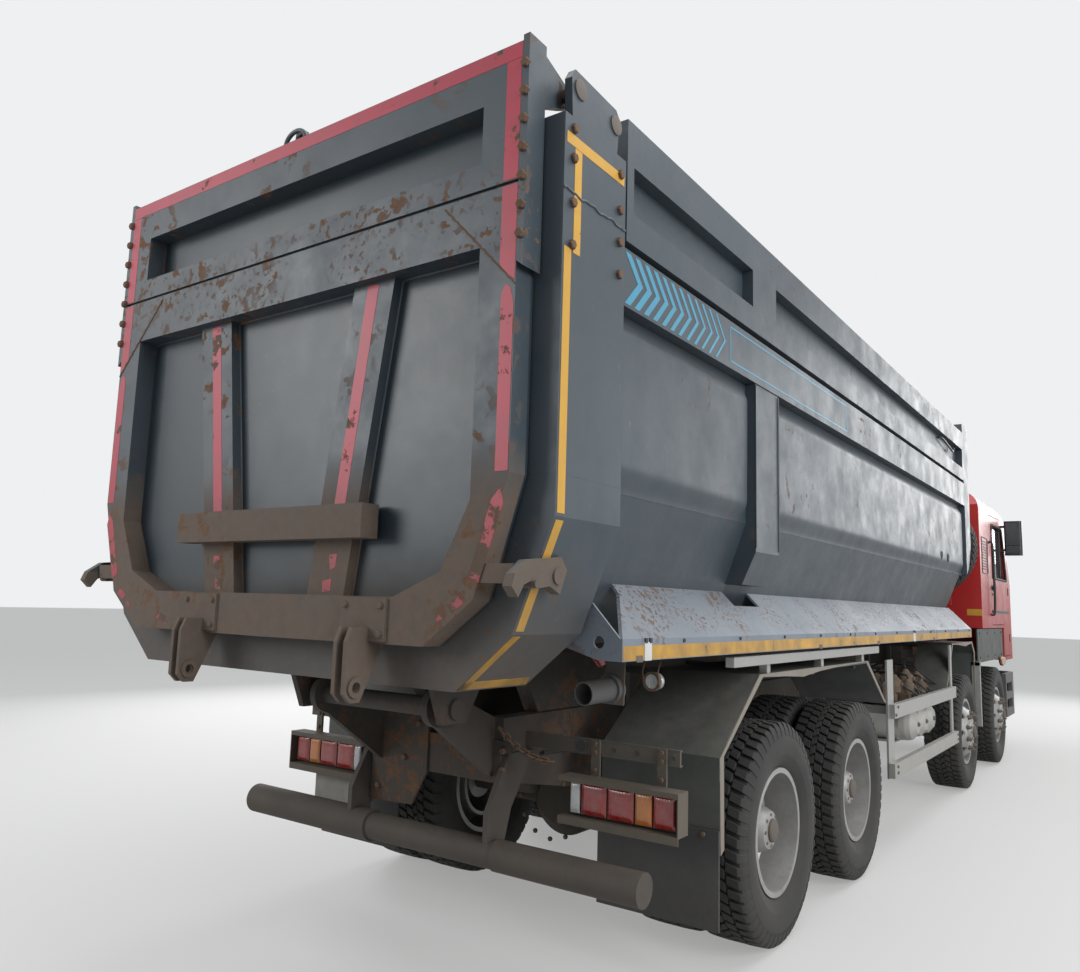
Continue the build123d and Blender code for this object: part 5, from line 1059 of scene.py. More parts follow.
def tailLamps(s):
    x, y, gap = s["inner"], s["rear"], s["gap"]

    def lampPair(name, finish, slotName, *parts, **looks):
        # The left lamp hangs further in than the right one
        right = gathered(*parts)
        points, groups = mirroredPart(right)
        both = gathered(right, (points + (s["leftShift"], 0, 0), groups))
        newPiece(name, both, finish, "chassis", slotName, **looks)

    faces = {}
    for width, colour in s["lenses"]:
        lens = crownedLens(x + gap, x + width - gap, s["low"], s["top"], lastAxle + y, s["crown"])
        faces.setdefault(colour, []).append(lens)
        x += width
    for colour, parts in faces.items():
        lampPair("tail_lens_" + colour, colour + "Lens", "tail_lens", *parts, smooth=50)
    x0, x1, z0, z1 = s["body"]
    lampPair("lamp_bodies", "blackPlastic", "tail_lens", box(x0, x1, y + 0.01, y + 0.059, z0, z1),
        bevel=0.004)
    x0, x1, z0, z1 = s["holeBar"]
    face, middleZ = s["barFace"], (z0 + z1) / 2
    rings = [disc(drum(-0.002, 0.002, r * 1.2, r * 0.9), (hx, face, middleZ), "Y") for hx, r in s["holes"]]
    # The dark discs in the holes are painted shade, standing in for the shaded space seen through the open
    # holes
    dark = [disc(drum(-0.001, 0.001, r * 0.9), (hx, face, middleZ), "Y") for hx, r in s["holes"]]
    lips = [box(x0, x1, face - 0.001, face + 0.03, z, z + 0.005) for z in (z0, z1 - 0.005)]
    lampPair("lamp_bar_edges", "guardPlastic", "mudguard", *rings, *lips, smooth=40)
    lampPair("lamp_bar_hole_shades", "blackPlastic", "mudguard", *dark)
    heads = bolts([(bx, -1.024, bz) for bx in s["boltXs"] for bz in s["boltZs"]], backwards, 0.011, 0.009)
    lampPair("lamp_bolts", "rustySteel", "mudguard", heads, smooth=30)
    newPiece("blank_plate", box(*s["plate"]), "dustyPlate", "chassis", "tail_lens", bevel=0.001)


tailLamps(lampTrim)

# Slack chain between the rails' ends: bent round links, each turned a quarter against its neighbour
chainTrim = {"from": (0.405, -1.215, 1.045), "to": (0.64, -1.15, 0.925), "sag": 0.035, "links": 11,
    "linkLength": 0.04, "linkWidth": 0.022, "wire": 0.0045}


def chainLinks(s):
    across, along = circle(s["linkWidth"] / 2, 20).T[::-1]
    half = (s["linkLength"] - s["linkWidth"]) / 2
    loop = np.column_stack([across, np.zeros(20), along + half * np.sign(along)])
    link = swept(loop, circle(s["wire"], 8), closed=True)
    # The links hang along from + (to - from) t - 4 sag t (1 - t) upwards
    t = (np.arange(s["links"]) + 0.5)[:, None] / s["links"]
    start, end = np.array(at(*s["from"])), np.array(at(*s["to"]))
    places = start + (end - start) * t - np.array((0, 0, 1)) * 4 * s["sag"] * t * (1 - t)
    quarters = [np.array(Matrix.Rotation(pi / 2 * (index % 2), 3, "Z")) for index in range(s["links"])]
    turns = [facing(ahead) @ quarter for ahead, quarter in zip(np.gradient(places, axis=0), quarters)]
    return copied(link, places, np.array(turns))


def tube(profile, start, end, steps=36):
    # Profile turned about the line from start towards end
    return placed(turned(profile, axis="Z", steps=steps), facing(np.subtract(end, start)), at(*start))


def rearSmallParts():
    newPiece("slack_chain", chainLinks(chainTrim), "rustySteel", "chassis", "chassis_paint", smooth=60)
    # Bolts of the unlike plates over the ends of the two rails
    pads = ((0.325, 0.945), (0.415, 0.945), (0.325, 0.865), (0.415, 0.865),
        (-0.335, 1.01), (-0.085, 1.01), (-0.335, 0.7), (-0.17, 0.85))
    heads = bolts([(x, -1.196, z) for x, z in pads], backwards, 0.015, 0.012)
    newPiece("frame_end_bolts", heads, "rustySteel", "chassis", "chassis_paint", smooth=30)
    # Under the bed's right corner: stub pipe on its hanger plate, with the slanted red marker above it
    mouth, back = (0.985, -1.455, 1.25), (1.01, -1.27, 1.262)
    pipe = tube(drum(0.0, 0.19, 0.045, 0.041), mouth, back)
    collar = tube(drum(0.15, 0.19, 0.056, 0.04), mouth, back)
    x, y, z = 1.012, lastAxle - 1.3, 1.262
    hanger = slab([(x - 0.055, z - 0.06), (x + 0.055, z - 0.06), (x + 0.06, z + 0.17),
        (x - 0.01, z + 0.19)], "Y", y + 0.006, y + 0.014)
    marker = tube([(0, 0.0), (0, 0.018), (0.006, 0.022), (0.1, 0.022), (0.106, 0.018), (0.106, 0.0)],
        (0.985, -1.425, 1.432), (1.005, -1.335, 1.345), 28)
    # Round marker lamp in its wire cage under the skirt
    x, y, z = 1.13, -1.155, 1.292
    lamp = disc([(-0.03, 0.0), (-0.03, 0.03), (0.012, 0.034), (0.024, 0.026), (0.03, 0.0)], (x, y, z), "Y",
        32)
    cage = [bar([(x + dx, y - 0.03, z - 0.02), (x + dx, y - 0.045, z + 0.04), (x + dx, y, z + 0.115)],
        0.003) for dx in (-0.034, 0.034)]
    cage.append(bar([(x - 0.034, y, z + 0.115), (x, y, z + 0.118), (x + 0.034, y, z + 0.115)], 0.003))
    cage.insert(0, disc(drum(-0.034, -0.018, 0.038, 0.028), (x, y, z), "Y", 32))
    for name, part, finish, slotName, looks in (
            ("stub_pipe", gathered(pipe, collar), "bumperGrey", "bed_paint", {"smooth": 40}),
            ("stub_pipe_plug", tube(drum(0.14, 0.15, 0.042), mouth, back), "blackPlastic", "bed_paint", {}),
            ("stub_pipe_hanger", hanger, "bodyPaint", "bed_paint", {"bevel": 0.002}),
            ("red_marker", marker, "redLens", "bed_paint", {"smooth": 40}),
            ("small_lamp", lamp, "clearLens", "tail_lens", {"smooth": 40}),
            ("small_lamp_cage", gathered(*cage), "rustySteel", "tail_lens", {"smooth": 40})):
        newPiece(name, part, finish, "load_bed", slotName, **looks)


rearSmallParts()

# Edge trim of the mudguards and the light strip along them: paths of (y, z)
guardTrim = {
    "rear": (1.222, ((-0.732, 0.56), (-0.74, 0.955), (-0.284, 1.284), (1.562, 1.284), (1.985, 0.995))),
    "front": (1.196, ((4.108, 0.884), (4.463, 1.34), (5.486, 1.34), (5.614, 1.23), (5.614, 0.511))),
    "width": 0.04, "thickness": 0.006, "strip": (-0.65, 1.73, 1.33, 1.376), "footYs": (-0.15, 0.67, 1.48),
}


def guardEdges(s):
    parts = []
    for x, path in (s["rear"], s["front"]):
        points = np.array([at(x, y, z) for y, z in path])
        share = np.linspace(0, 1, 6, endpoint=False)[:, None]
        fine = np.vstack([a + (b - a) * share for a, b in zip(points, points[1:])] + [points[-1:]])
        inward = (fine.mean(0) - fine) * (0, 1, 1)
        inward /= np.linalg.norm(inward, axis=1, keepdims=True)
        inner = fine + inward * s["width"]
        depth = (s["thickness"], 0, 0)
        parts.append(lofted(np.stack([fine, inner, inner - depth, fine - depth], 1)))
    onChassis("mudguard_edges", "edgeStrip", "mudguard", *parts, smooth=25)
    y0, y1, low, top = s["strip"]
    feet = [box(1.17, 1.215, y - 0.02, y + 0.02, 1.278, top - 0.01) for y in s["footYs"]]
    onChassis("mudguard_strip", "railAluminium", "mudguard", box(1.205, 1.25, y0, y1, low, top), *feet,
        bevel=0.004)
    stay = bolts([(1.194, 5.612, z) for z in (0.6, 0.9, 1.15)], (0, 1, 0), 0.009, 0.007)
    flap = bolts([(x, -0.751, 0.64) for x in (0.7, 0.85, 1.0, 1.15)], backwards, 0.011, 0.008)
    onChassis("mudguard_bolts", "rustySteel", "mudguard", stay, flap, smooth=30)


guardEdges(guardTrim)
print("rear chassis ready")

# Cab: rubbers, wipers, lamps, mirrors and small things. The windscreen slopes from top to foot in (y, z)
cabTrim = {
    "top": (7.69, 2.88), "foot": (8.11, 1.96), "halfWidth": 1.06, "margin": 0.07, "rubber": 0.017,
    "window": ((6.76, 2.03), (6.76, 2.64), (7.47, 2.65), (7.54, 2.61), (7.79, 2.03)), "side": 1.225,
    "wiperPivots": (-0.62, 0.3),
    "slatZs": (1.19, 1.287, 1.384, 1.481), "grilleHalf": 0.855,
    "lampXs": (0.862, 0.985), "lampY": 8.2185, "lampZ": 0.64,
}


def roundedLoop(corners, radius, steps=5):
    # Closed path whose corners c are cut at radius along both edges and rounded:
    # (1 - t)^2 a + 2 t (1 - t) c + t^2 b
    corners = np.asarray(corners, float)
    t = np.linspace(0, 1, steps)[:, None]
    loop = []
    for before, corner, after in zip(np.roll(corners, 1, 0), corners, np.roll(corners, -1, 0)):
        a, b = (corner + (other - corner) / np.linalg.norm(other - corner) * radius
            for other in (before, after))
        loop.append((1 - t) ** 2 * a + 2 * t * (1 - t) * corner + t ** 2 * b)
    return np.vstack(loop)


screenTop, screenFoot = np.array(cabTrim["top"]), np.array(cabTrim["foot"])
screenLength = np.linalg.norm(screenFoot - screenTop)
screenRun = (screenFoot - screenTop) / screenLength


def onScreen(x, down, out):
    # Point at a distance down the windscreen's slope from its top edge, and out from its face
    y, z = screenTop + screenRun * down + np.array((-screenRun[1], screenRun[0])) * out
    return (x, y, z)


def cabRubbers(s):
    w, low, high = s["halfWidth"], s["margin"], screenLength - s["margin"]
    corners = [onScreen(x, down, 0.001) for x, down in ((-w, low), (w, low), (w, high), (-w, high))]
    onCab("screen_rubber", "flapRubber", "rubber", bar(roundedLoop(corners, 0.03), s["rubber"], 10,
        closed=True), smooth=50)
    seal = bar(roundedLoop([(s["side"] + 0.001, y, z) for y, z in s["window"]], 0.035), 0.013, 10,
        closed=True)
    # With the divider post of the side window, standing before the pane
    right = gathered(seal, box(1.196, 1.222, 7.395, 7.42, 2.03, 2.648))
    for side, part in (("right", right), ("left", mirroredPart(right))):
        newPiece("door_rubber_" + side, part, "flapRubber", "door_" + side, "rubber", smooth=50)


def wipers(s):
    parts = []
    for x in s["wiperPivots"]:
        hub = turned([(-0.02, 0.0), (-0.02, 0.024), (0.03, 0.022), (0.042, 0.012), (0.042, 0.0)], axis="Z",
            steps=20)
        hub = placed(hub, facing((0, -screenRun[1], screenRun[0])),
            at(*onScreen(x, screenLength - 0.02, 0.0)))
        arm = bar([onScreen(x, screenLength - 0.02, 0.034), onScreen(x + 0.06, screenLength - 0.045, 0.04),
            onScreen(x + 0.34, screenLength - 0.115, 0.03)], 0.0075)

        def along(reaches, out):
            return [onScreen(x + 0.34 + d, screenLength - 0.115 - d * 0.05, out) for d in reaches]

        blade = swept([at(*p) for p in along((-0.3, -0.1, 0.1, 0.3), 0.016)],
            [(-0.004, -0.012), (0.004, -0.012), (0.006, 0.01), (-0.006, 0.01)])
        parts += [hub, arm, blade, bar(along((-0.2, 0.0, 0.2), 0.027), 0.006, 6)]
    onCab("wipers", "blackPlastic", "cab_plastic", *parts, smooth=40)


def grilleDetails(s):
    w = s["grilleHalf"]
    fins = [box(x - 0.003, x + 0.003, 8.203, 8.209, 1.192, 1.573) for x in np.arange(-0.84, 0.85, 0.035)]
    onCab("grille_mesh", "blackPlastic", "cab_plastic", box(-w, w, 8.1995, 8.203, 1.19, 1.575), *fins)
    edges = [box(-w + 0.02, w - 0.02, 8.2095, 8.2125, z + 0.034, z + 0.04) for z in s["slatZs"]]
    onCab("grille_edges", "railAluminium", "tank_metal", *edges, bevel=0.001)
    # Panel line over the grille and two grab handles below the windscreen
    seam = bar([(x, 8.1985, 1.665) for x in (-1.05, -0.9, 0.9, 1.05)], 0.0035, 6)
    handles = [bar([(x + dx, y, 1.79) for dx, y in ((-0.13, 8.165), (-0.12, 8.205), (0.12, 8.205),
        (0.13, 8.165))], 0.01, 10, 4) for x in (-0.72, 0.72)]
    onCab("front_handles", "blackPlastic", "cab_plastic", seam, *handles, smooth=50)


def headLamps(s):
    shapes = {"bowls": [(-0.0005, 0.0), (0.002, 0.03), (0.0035, 0.052), (-0.0005, 0.054)],
        "rings": [(-0.001, 0.051), (0.0065, 0.053), (0.0065, 0.059), (-0.001, 0.061)],
        "glass": [(0.0, 0.0), (0.0105, 0.0), (0.01, 0.02), (0.008, 0.04), (0.0045, 0.052), (0.0, 0.052)]}
    parts = {name: [disc(shape, (x, s["lampY"], s["lampZ"]), "Y", 36) for x in s["lampXs"]]
        for name, shape in shapes.items()}
    onChassis("head_lamp_bowls", "hoistChrome", "lamp_lens", *parts["bowls"], smooth=50)
    onChassis("head_lamp_rings", "blackPlastic", "bumper_paint", *parts["rings"], smooth=50)
    onChassis("head_lamp_glass", "windowGlass", "lamp_lens", *parts["glass"], smooth=60)
    # Amber turn lamp on the bumper's corner
    corner = [(1.1, 8.205), (1.165, 8.158), (1.16, 8.148), (1.098, 8.193)]
    lamp = slab([(x, lastAxle + y) for x, y in corner], "Z", 0.585, 0.695)
    onChassis("turn_lamps", "amberLens", "lamp_lens", lamp, bevel=0.003)


roofTrim = {
    "hatch": ((-0.36, 0.36, 6.92, 7.44, 2.94, 2.962), (-0.32, 0.32, 6.96, 7.4, 2.96, 2.984)),
    "ribXs": (-0.75, -0.45, 0.45, 0.75), "ribHalf": 0.022, "rib": (6.3, 6.86, 2.93, 2.955),
    "markerXs": (-0.86, -0.43, 0.0, 0.43, 0.86), "marker": (7.575, 2.93),
    "dome": [(-0.02, 0.0), (-0.02, 0.034), (0.008, 0.034), (0.024, 0.022), (0.03, 0.0)],
    "foot": [(-0.02, 0.0), (-0.02, 0.044), (0.002, 0.044), (0.006, 0.036), (0.006, 0.0)],
    "aerial": [(-1.02, 7.56, 2.88), (-1.03, 7.44, 3.1), (-1.035, 7.36, 3.32)],
}


def roofDetails(s):
    onCab("roof_hatch", "blackPlastic", "cab_plastic", *[box(*sides) for sides in s["hatch"]], bevel=0.01)
    ribs = [box(x - s["ribHalf"], x + s["ribHalf"], *s["rib"]) for x in s["ribXs"]]
    onCab("roof_ribs", "cabRed", "cab_paint", *ribs, bevel=0.009)
    domes, feet = ([disc(s[shape], (x, *s["marker"]), "Z", 24) for x in s["markerXs"]]
        for shape in ("dome", "foot"))
    onCab("roof_markers", "amberLens", "lamp_lens", *domes, smooth=50)
    onCab("roof_marker_feet", "blackPlastic", "cab_plastic", *feet, smooth=40)
    onCab("aerial", "blackPlastic", "cab_plastic", bar(s["aerial"], 0.004), smooth=40)


# On the doors and the cab's rear corners: boxes as (x, x, y, y, z, z)
handleTrim = {
    "mirror": (1.288, 1.442, 7.4365, 7.4402), "mirrorZs": ((2.45, 2.718), (2.352, 2.436)),
    "pull": (1.224, 1.2262, 6.675, 6.865, 1.88, 1.955), "lock": (1.225, 6.715, 1.845),
    "moulding": (1.222, 1.2335, 6.665, 7.88, 1.64, 1.668), "railY": 6.575,
    "rail": ((1.215, 1.62), (1.262, 1.65), (1.268, 2.02), (1.262, 2.39), (1.215, 2.42)),
    "vent": (1.222, 1.229, 6.12, 6.42), "ventZs": (2.1, 2.42, 0.03), "ventHeight": 0.01, "frameX": 1.2255,
    "frame": ((6.09, 2.06), (6.45, 2.06), (6.45, 2.45), (6.09, 2.45)), "frameCorner": 0.03,
    "ribXs": (-0.9, -0.6, -0.3, 0.0, 0.3, 0.6, 0.9), "ribHalf": 0.03, "rib": (5.962, 5.972, 1.7, 2.66),
}


def mirrorsAndHandles(s):
    glass = gathered(*[box(*s["mirror"], *zs) for zs in s["mirrorZs"]])
    pull = gathered(box(*s["pull"]), disc(drum(0.0, 0.006, 0.016), s["lock"], "X", 20), box(*s["moulding"]))
    for side, turn in (("right", lambda part: part), ("left", mirroredPart)):
        newPiece("mirror_glass_" + side, turn(glass), "mirrorGlass", "door_" + side, "window_glass",
            bevel=0.001)
        newPiece("door_pull_" + side, turn(pull), "blackPlastic", "door_" + side, "cab_plastic",
            bevel=0.002)
    rail = bar([(x, s["railY"], z) for x, z in s["rail"]], 0.013, 12, 6)
    onCab("grab_rails", "blackPlastic", "cab_plastic", bothSides(rail), smooth=50)
    # Air vents on the cab's rear corner and pressed ribs on its back
    vents = [box(*s["vent"], z, z + s["ventHeight"]) for z in np.arange(*s["ventZs"])]
    frame = roundedLoop([(s["frameX"], y, z) for y, z in s["frame"]], s["frameCorner"])
    onCab("cab_vents", "blackPlastic", "cab_plastic", bothSides(*vents, bar(frame, 0.006, closed=True)),
        smooth=30)
    ribs = [box(x - s["ribHalf"], x + s["ribHalf"], *s["rib"]) for x in s["ribXs"]]
    onCab("cab_rear_ribs", "cabRed", "cab_paint", *ribs, bevel=0.0045)


for dress in (cabRubbers, wipers, grilleDetails, headLamps):
    dress(cabTrim)
roofDetails(roofTrim)
mirrorsAndHandles(handleTrim)
print("cab outside ready")

# Chassis between the axles: bands, bolts, valves, brake chambers and pipes
chassisTrim = {
    "tankYs": (3.47, 3.765, 4.06), "tankZ": 0.7, "tankRadius": 0.135, "bandXs": (0.64, 0.96),
    "guardX": 1.25, "guardBolts": ((2.13, 0.9), (2.19, 0.95), (4.285, 0.9), (4.305, 0.95),
        (2.15, 0.515), (2.15, 0.555), (4.29, 0.515), (4.29, 0.555)),
    # Castings on the shelf: (x, y, z, radius of the head)
    "valves": ((0.93, 3.42, 1.015, 0.06), (1.0, 3.6, 0.985, 0.052), (0.94, 3.78, 1.04, 0.064),
        (1.02, 3.98, 0.97, 0.048), (0.95, 4.16, 1.02, 0.056), (0.64, 3.6, 0.99, 0.06),
        (0.62, 3.98, 1.01, 0.062)),
    # Pipes along the rails: (side, x, z, radius, from, to)
    "lines": ((1, 0.4095, 0.905, 0.0085, -0.9, 5.1), (1, 0.4085, 0.88, 0.0065, -0.4, 5.1),
        (1, 0.414, 0.838, 0.013, 2.2, 5.4), (-1, 0.4095, 0.905, 0.0085, -0.9, 5.1),
        (-1, 0.415, 0.862, 0.014, 2.0, 5.3)),
    "clipStep": 0.45, "sag": 0.01, "springX": 0.43, "springTop": 0.668, "springLow": 0.47,
    "coverCircle": 0.2,
}
frontAxleYs = [middleOf(node)[1] - lastAxle for node in ("tyre_1_r", "tyre_2_r")]
rearAxleYs = [middleOf(node)[1] - lastAxle for node in ("tyres_3_r", "tyres_4_r")]
axleZ = middleOf("tyres_4_r")[2]


def tanksAndGuards(s):
    r, z = s["tankRadius"], s["tankZ"]
    bands, drains, ends = [], [], []
    for y in s["tankYs"]:
        for x in s["bandXs"]:
            bands += [disc(drum(-0.016, 0.016, r + 0.003, r - 0.002), (x, y, z), "X", 48),
                box(x - 0.014, x + 0.014, y - 0.012, y + 0.012, z + r, z + r + 0.03)]
        drain = [(-0.03, 0.0), (-0.03, 0.011), (-0.01, 0.014), (0.006, 0.018), (0.006, 0.0)]
        drains.append(disc(drain, (0.8, y, z - r), "Z", 16))
        end = [(-0.006, 0.0), (-0.006, 0.02), (0.008, 0.018), (0.016, 0.01), (0.016, 0.0)]
        ends.append(disc(end, (1.1, y, z), "X", 20))
    newPiece("air_tank_bands", gathered(*bands), "railAluminium", "chassis", "tank_metal", smooth=40)
    newPiece("air_tank_fittings", gathered(*drains, *ends), "hubIron", "chassis", "axle_iron", smooth=40)


def valveGear(s):
    # Shelf over the air tanks with castings in a row, each a block with a turned head, their pipes and a stay
    shelf = gathered(box(0.398, 1.09, 3.3, 4.29, 0.868, 0.876), box(0.398, 0.41, 3.3, 4.29, 0.8, 0.87))
    newPiece("valve_shelf", shelf, "chassisIron", "chassis", "chassis_paint", bevel=0.001)
    castings, pipes = [], []
    for x, y, z, r in s["valves"]:
        head = [(-r * 1.1, 0.0), (-r * 1.1, r * 0.8), (-r * 0.2, r), (r * 0.5, r), (r * 0.9, r * 0.55),
            (r * 1.3, r * 0.3), (r * 1.3, 0.0)]
        castings += [box(x - r * 1.3, x + r * 0.3, y - r * 0.8, y + r * 0.8, 0.874, z + r * 0.2),
            disc(head, (x, y, z), "Z", 24), disc(drum(0.0, r * 1.2, r * 0.35), (x, y, z), "X", 12)]
    newPiece("valve_castings", gathered(*castings), "castIron", "chassis", "axle_iron", bevel=0.003)
    for (x, y, z, r), (x2, y2, z2, r2) in zip(s["valves"], s["valves"][1:5]):
        pipes.append(bar([(x + r * 1.1, y, z), (x + 0.1, y + 0.05, z - 0.04),
            (x2 + 0.1, y2 - 0.05, z2 - 0.06), (x2 + r2 * 1.1, y2, z2)], 0.009, 8, 8))
    for x, y, z, r in s["valves"]:
        pipes.append(bar([(x, y, z + r * 1.2), (x - 0.03, y, z + r * 1.9),
            ((x + 0.42) / 2, y + 0.03, z + 0.1), (0.425, y + 0.05, 0.93)], 0.008, 8, 8))
    pipes.append(bar([(0.98, 3.98, 1.12), (1.1, 4.18, 0.985), (1.2, 4.262, 0.93)], 0.008))
    newPiece("valve_pipes", gathered(*pipes), "blackPlastic", "chassis", "cab_plastic", smooth=50)
    heads = bolts([(s["guardX"], y, z) for y, z in s["guardBolts"]], rightwards, 0.011, 0.008)
    onChassis("side_guard_bolts", "hubIron", "tank_metal", heads, smooth=30)


def frameLines(s):
    # Pipes along the rails, held by clips; between the clips they hang down by sag sin^2(pi y / step)
    parts = []
    for side, x, z, r, start, end in s["lines"]:
        ys = np.linspace(start, end, 60)
        sag = s["sag"] * np.sin(pi * ys / s["clipStep"]) ** 2
        parts.append(bar(np.column_stack([np.full(60, side * (x + r)), ys, z - sag]), r))
    newPiece("frame_lines", gathered(*parts), "blackPlastic", "chassis", "cab_plastic", smooth=60)
    clips = [box(0.398, 0.436, y - 0.012, y + 0.012, 0.815, 0.925)
        for y in np.arange(0.45, 5.0, s["clipStep"])]
    rivets = bolts([(0.4, y, z) for y in np.arange(-0.7, 7.9, 0.3) for z in (0.735, 0.955)], rightwards,
        0.012, 0.008)
    onChassis("frame_clips", "hubIron", "chassis_paint", *clips, rivets, smooth=30)


def brakeChambers():
    # Two pressed bowls clamped by a ring, with the rod towards the brake; one at each wheel
    bowl = [(-0.09, 0.0), (-0.085, 0.045), (-0.06, 0.07), (-0.012, 0.076), (-0.012, 0.084), (0.012, 0.084),
        (0.012, 0.076), (0.055, 0.062), (0.07, 0.04), (0.07, 0.014), (0.15, 0.012), (0.15, 0.0)]
    long = [(-0.2, 0.0), (-0.195, 0.05), (-0.17, 0.072), (-0.12, 0.076)] + bowl[3:]
    parts = [disc(bowl, (0.56, y - 0.165, 0.565)) for y in frontAxleYs]
    brackets = [box(0.505, 0.53, y - 0.185, y - 0.035, 0.42, 0.56) for y in frontAxleYs]
    for y, reach in zip(rearAxleYs, (0.15, -0.15)):
        parts.append(disc(long, (0.33, y + reach, 0.6)))
        brackets.append(box(0.33, 0.352, y + min(0, reach) - 0.01, y + max(0, reach) + 0.01, 0.5, 0.62))
    onChassis("brake_chambers", "hubIron", "axle_iron", *parts, smooth=45)
    onChassis("brake_brackets", "chassisIron", "axle_iron", *brackets, bevel=0.003)


def springBolts(s):
    # Clamp bolts: a bent bar over each front spring and its nuts; then the bolts round the rear axles' covers
    x, top, low = s["springX"], s["springTop"], s["springLow"]
    outline = ((-0.062, low), (-0.062, top - 0.02), (-0.045, top), (0.045, top), (0.062, top - 0.02),
        (0.062, low))
    bars, nuts = [], []
    for y in [axle + dy for axle in frontAxleYs for dy in (-0.062, 0.062)]:
        bars.append(bar([(x + dx, y, z) for dx, z in outline], 0.01, 10))
        nuts += [disc(drum(-0.012, 0.012, 0.018), (x + dx, y, low + 0.012), "Z", 6)
            for dx in (-0.062, 0.062)]
    onChassis("spring_clamps", "hubIron", "axle_iron", *bars, *nuts, smooth=40)
    covers = [(a, y - 0.208, b) for y in rearAxleYs
        for a, b in circle(s["coverCircle"], 12, (0.0, axleZ)) * (-1, 1)]
    newPiece("axle_cover_bolts", bolts(covers, backwards, 0.013, 0.011), "hubIron", "chassis", "axle_iron",
        smooth=30)


tanksAndGuards(chassisTrim)
valveGear(chassisTrim)
frameLines(chassisTrim)
brakeChambers()
springBolts(chassisTrim)
print("chassis details ready")

# Small things on the bed's side, its rear corners and the gate's top
bedTrim = {
    "holes": ((3.935, 2.113), (4.214, 2.108)), "holeRadius": 0.03, "holeX": 1.232,
    "recessX": 1.2, "hook": ((4.09, 3.187), (4.65, 3.14)),
    "pins": ((-1.997, 3.317), (-1.762, 3.305)), "plateX": 1.265,
    "beadX": 1.2515, "beadYs": (-0.399, -0.101), "tabX": 1.275, "tabYs": (-1.55, 0.45, 1.62, 3.3, 4.86),
}


def bedFittings(s):
    # Drain holes in a rolled rim on the pressed sheet; the dark disc in each is painted shade standing in for
    # the open hole
    x, radius = s["holeX"], s["holeRadius"]
    holeShades = [disc(drum(-0.006, 0.0016, radius), (x, y, z)) for y, z in s["holes"]]
    onBed("bed_side_hole_shades", "flapRubber", *holeShades)
    rims = [bar([(x + 0.001, a, b) for a, b in circle(radius + 0.003, 32, hole)], 0.005, closed=True)
        for hole in s["holes"]]
    # Bent bar hook: out of the recessed sheet, along it and turned up at its end
    (y0, z0), (y1, z1) = s["hook"]
    x = s["recessX"]
    hook = bar([(x - 0.004, y0, z0), (x + 0.032, y0 + 0.02, z0), (x + 0.035, (y0 + y1) / 2, (z0 + z1) / 2),
        (x + 0.035, y1 - 0.06, z1), (x + 0.035, y1, z1 + 0.035)], 0.009, 10, 8)
    onBed("bed_cord_hook", "bodyPaint", hook, *rims, smooth=50)
    washer = [(0.0, 0.0), (0.0, 0.036), (0.005, 0.036), (0.007, 0.026), (0.007, 0.0)]
    pins = [disc(washer, (s["plateX"], y, z), "X", 32) for y, z in s["pins"]]
    onBed("hinge_washers", "hubIron", *pins, smooth=40)
    # Weld beads down both edges of the upright rib
    beads = [bar([(s["beadX"], y, z) for z in (1.87, 2.1, 2.4, 2.65)], 0.004, 6) for y in s["beadYs"]]
    onBed("rib_beads", "bodyPaint", *beads, smooth=60)
    # Brackets that hold the skirt's edge strip
    x = s["tabX"]
    tabs = [box(x - 0.0005, x + 0.0035, y - 0.022, y + 0.022, 1.388, 1.412) for y in s["tabYs"]]
    onBed("skirt_tabs", "hubIron", *tabs, slotName="skirt_paint", bevel=0.0012)


# Small things on the cab's flank and at its foot
flankTrim = {
    "lamp": ((7.03, 1.12), (7.06, 1.075), (7.13, 1.05), (7.25, 1.042), (7.32, 1.05), (7.36, 1.08),
        (7.35, 1.115), (7.28, 1.135), (7.15, 1.142), (7.06, 1.138)),
    "seatMiddle": (7.195, 1.092), "seatScale": (1.06, 1.2),
    "screwYs": (5.82, 6.3, 6.78, 7.26), "screwZs": (1.17, 1.42),
    "stepZs": (0.43, 0.66), "studs": ((1.01, 1.17, 0.034), (7.49, 7.98, 0.042)),
}


def cabFlank(s):
    # Side lamp: a teardrop on a dark seat, at the lower edge of the wheel arch's panel
    outline = np.array(s["lamp"])
    seat = (outline - s["seatMiddle"]) * s["seatScale"] + s["seatMiddle"]
    lens, base = (slab(shape + (lastAxle, 0), "X", low, high)
        for shape, low, high in ((outline, 1.226, 1.248), (seat, 1.215, 1.229)))
    onChassis("side_lamp", "amberLens", "lamp_lens", lens, bevel=0.006)
    onChassis("side_lamp_seat", "blackPlastic", "cab_plastic", base, bevel=0.001)
    strips = [box(x0, x1, 5.9665, 5.9705, 1.6, 1.668) for x0, x1 in ((1.08, 1.2245), (-1.2245, -1.08))]
    onCab("cab_rear_reflectors", "amberTape", "cab_paint", *strips, bevel=0.001)
    screws = bolts([(1.215, y, z) for y in s["screwYs"] for z in s["screwZs"]], rightwards, 0.012, 0.006)
    onChassis("side_panel_screws", "blackPlastic", "cab_plastic", screws, smooth=40)
    # Broad light stay at the front foot of the second axle's mudguard
    stay = box(1.165, 1.245, 5.586, 5.6135, 0.5, 1.135), box(1.165, 1.245, 5.586, 5.65, 1.095, 1.135)
    onChassis("mudguard_stays", "railAluminium", "mudguard", *stay, bevel=0.003)
    # Punched tread plates on both steps: rows of raised rings
    ring = [(0.0, 0.0), (0.0, 0.012), (0.004, 0.009), (0.004, 0.0)]
    xs, ys = (np.arange(*run) for run in s["studs"])
    studs = [disc(ring, (x, y, z), "Z", 8) for z in s["stepZs"] for x in xs for y in ys]
    onChassis("step_studs", "railAluminium", "bumper_paint", *studs, smooth=40)


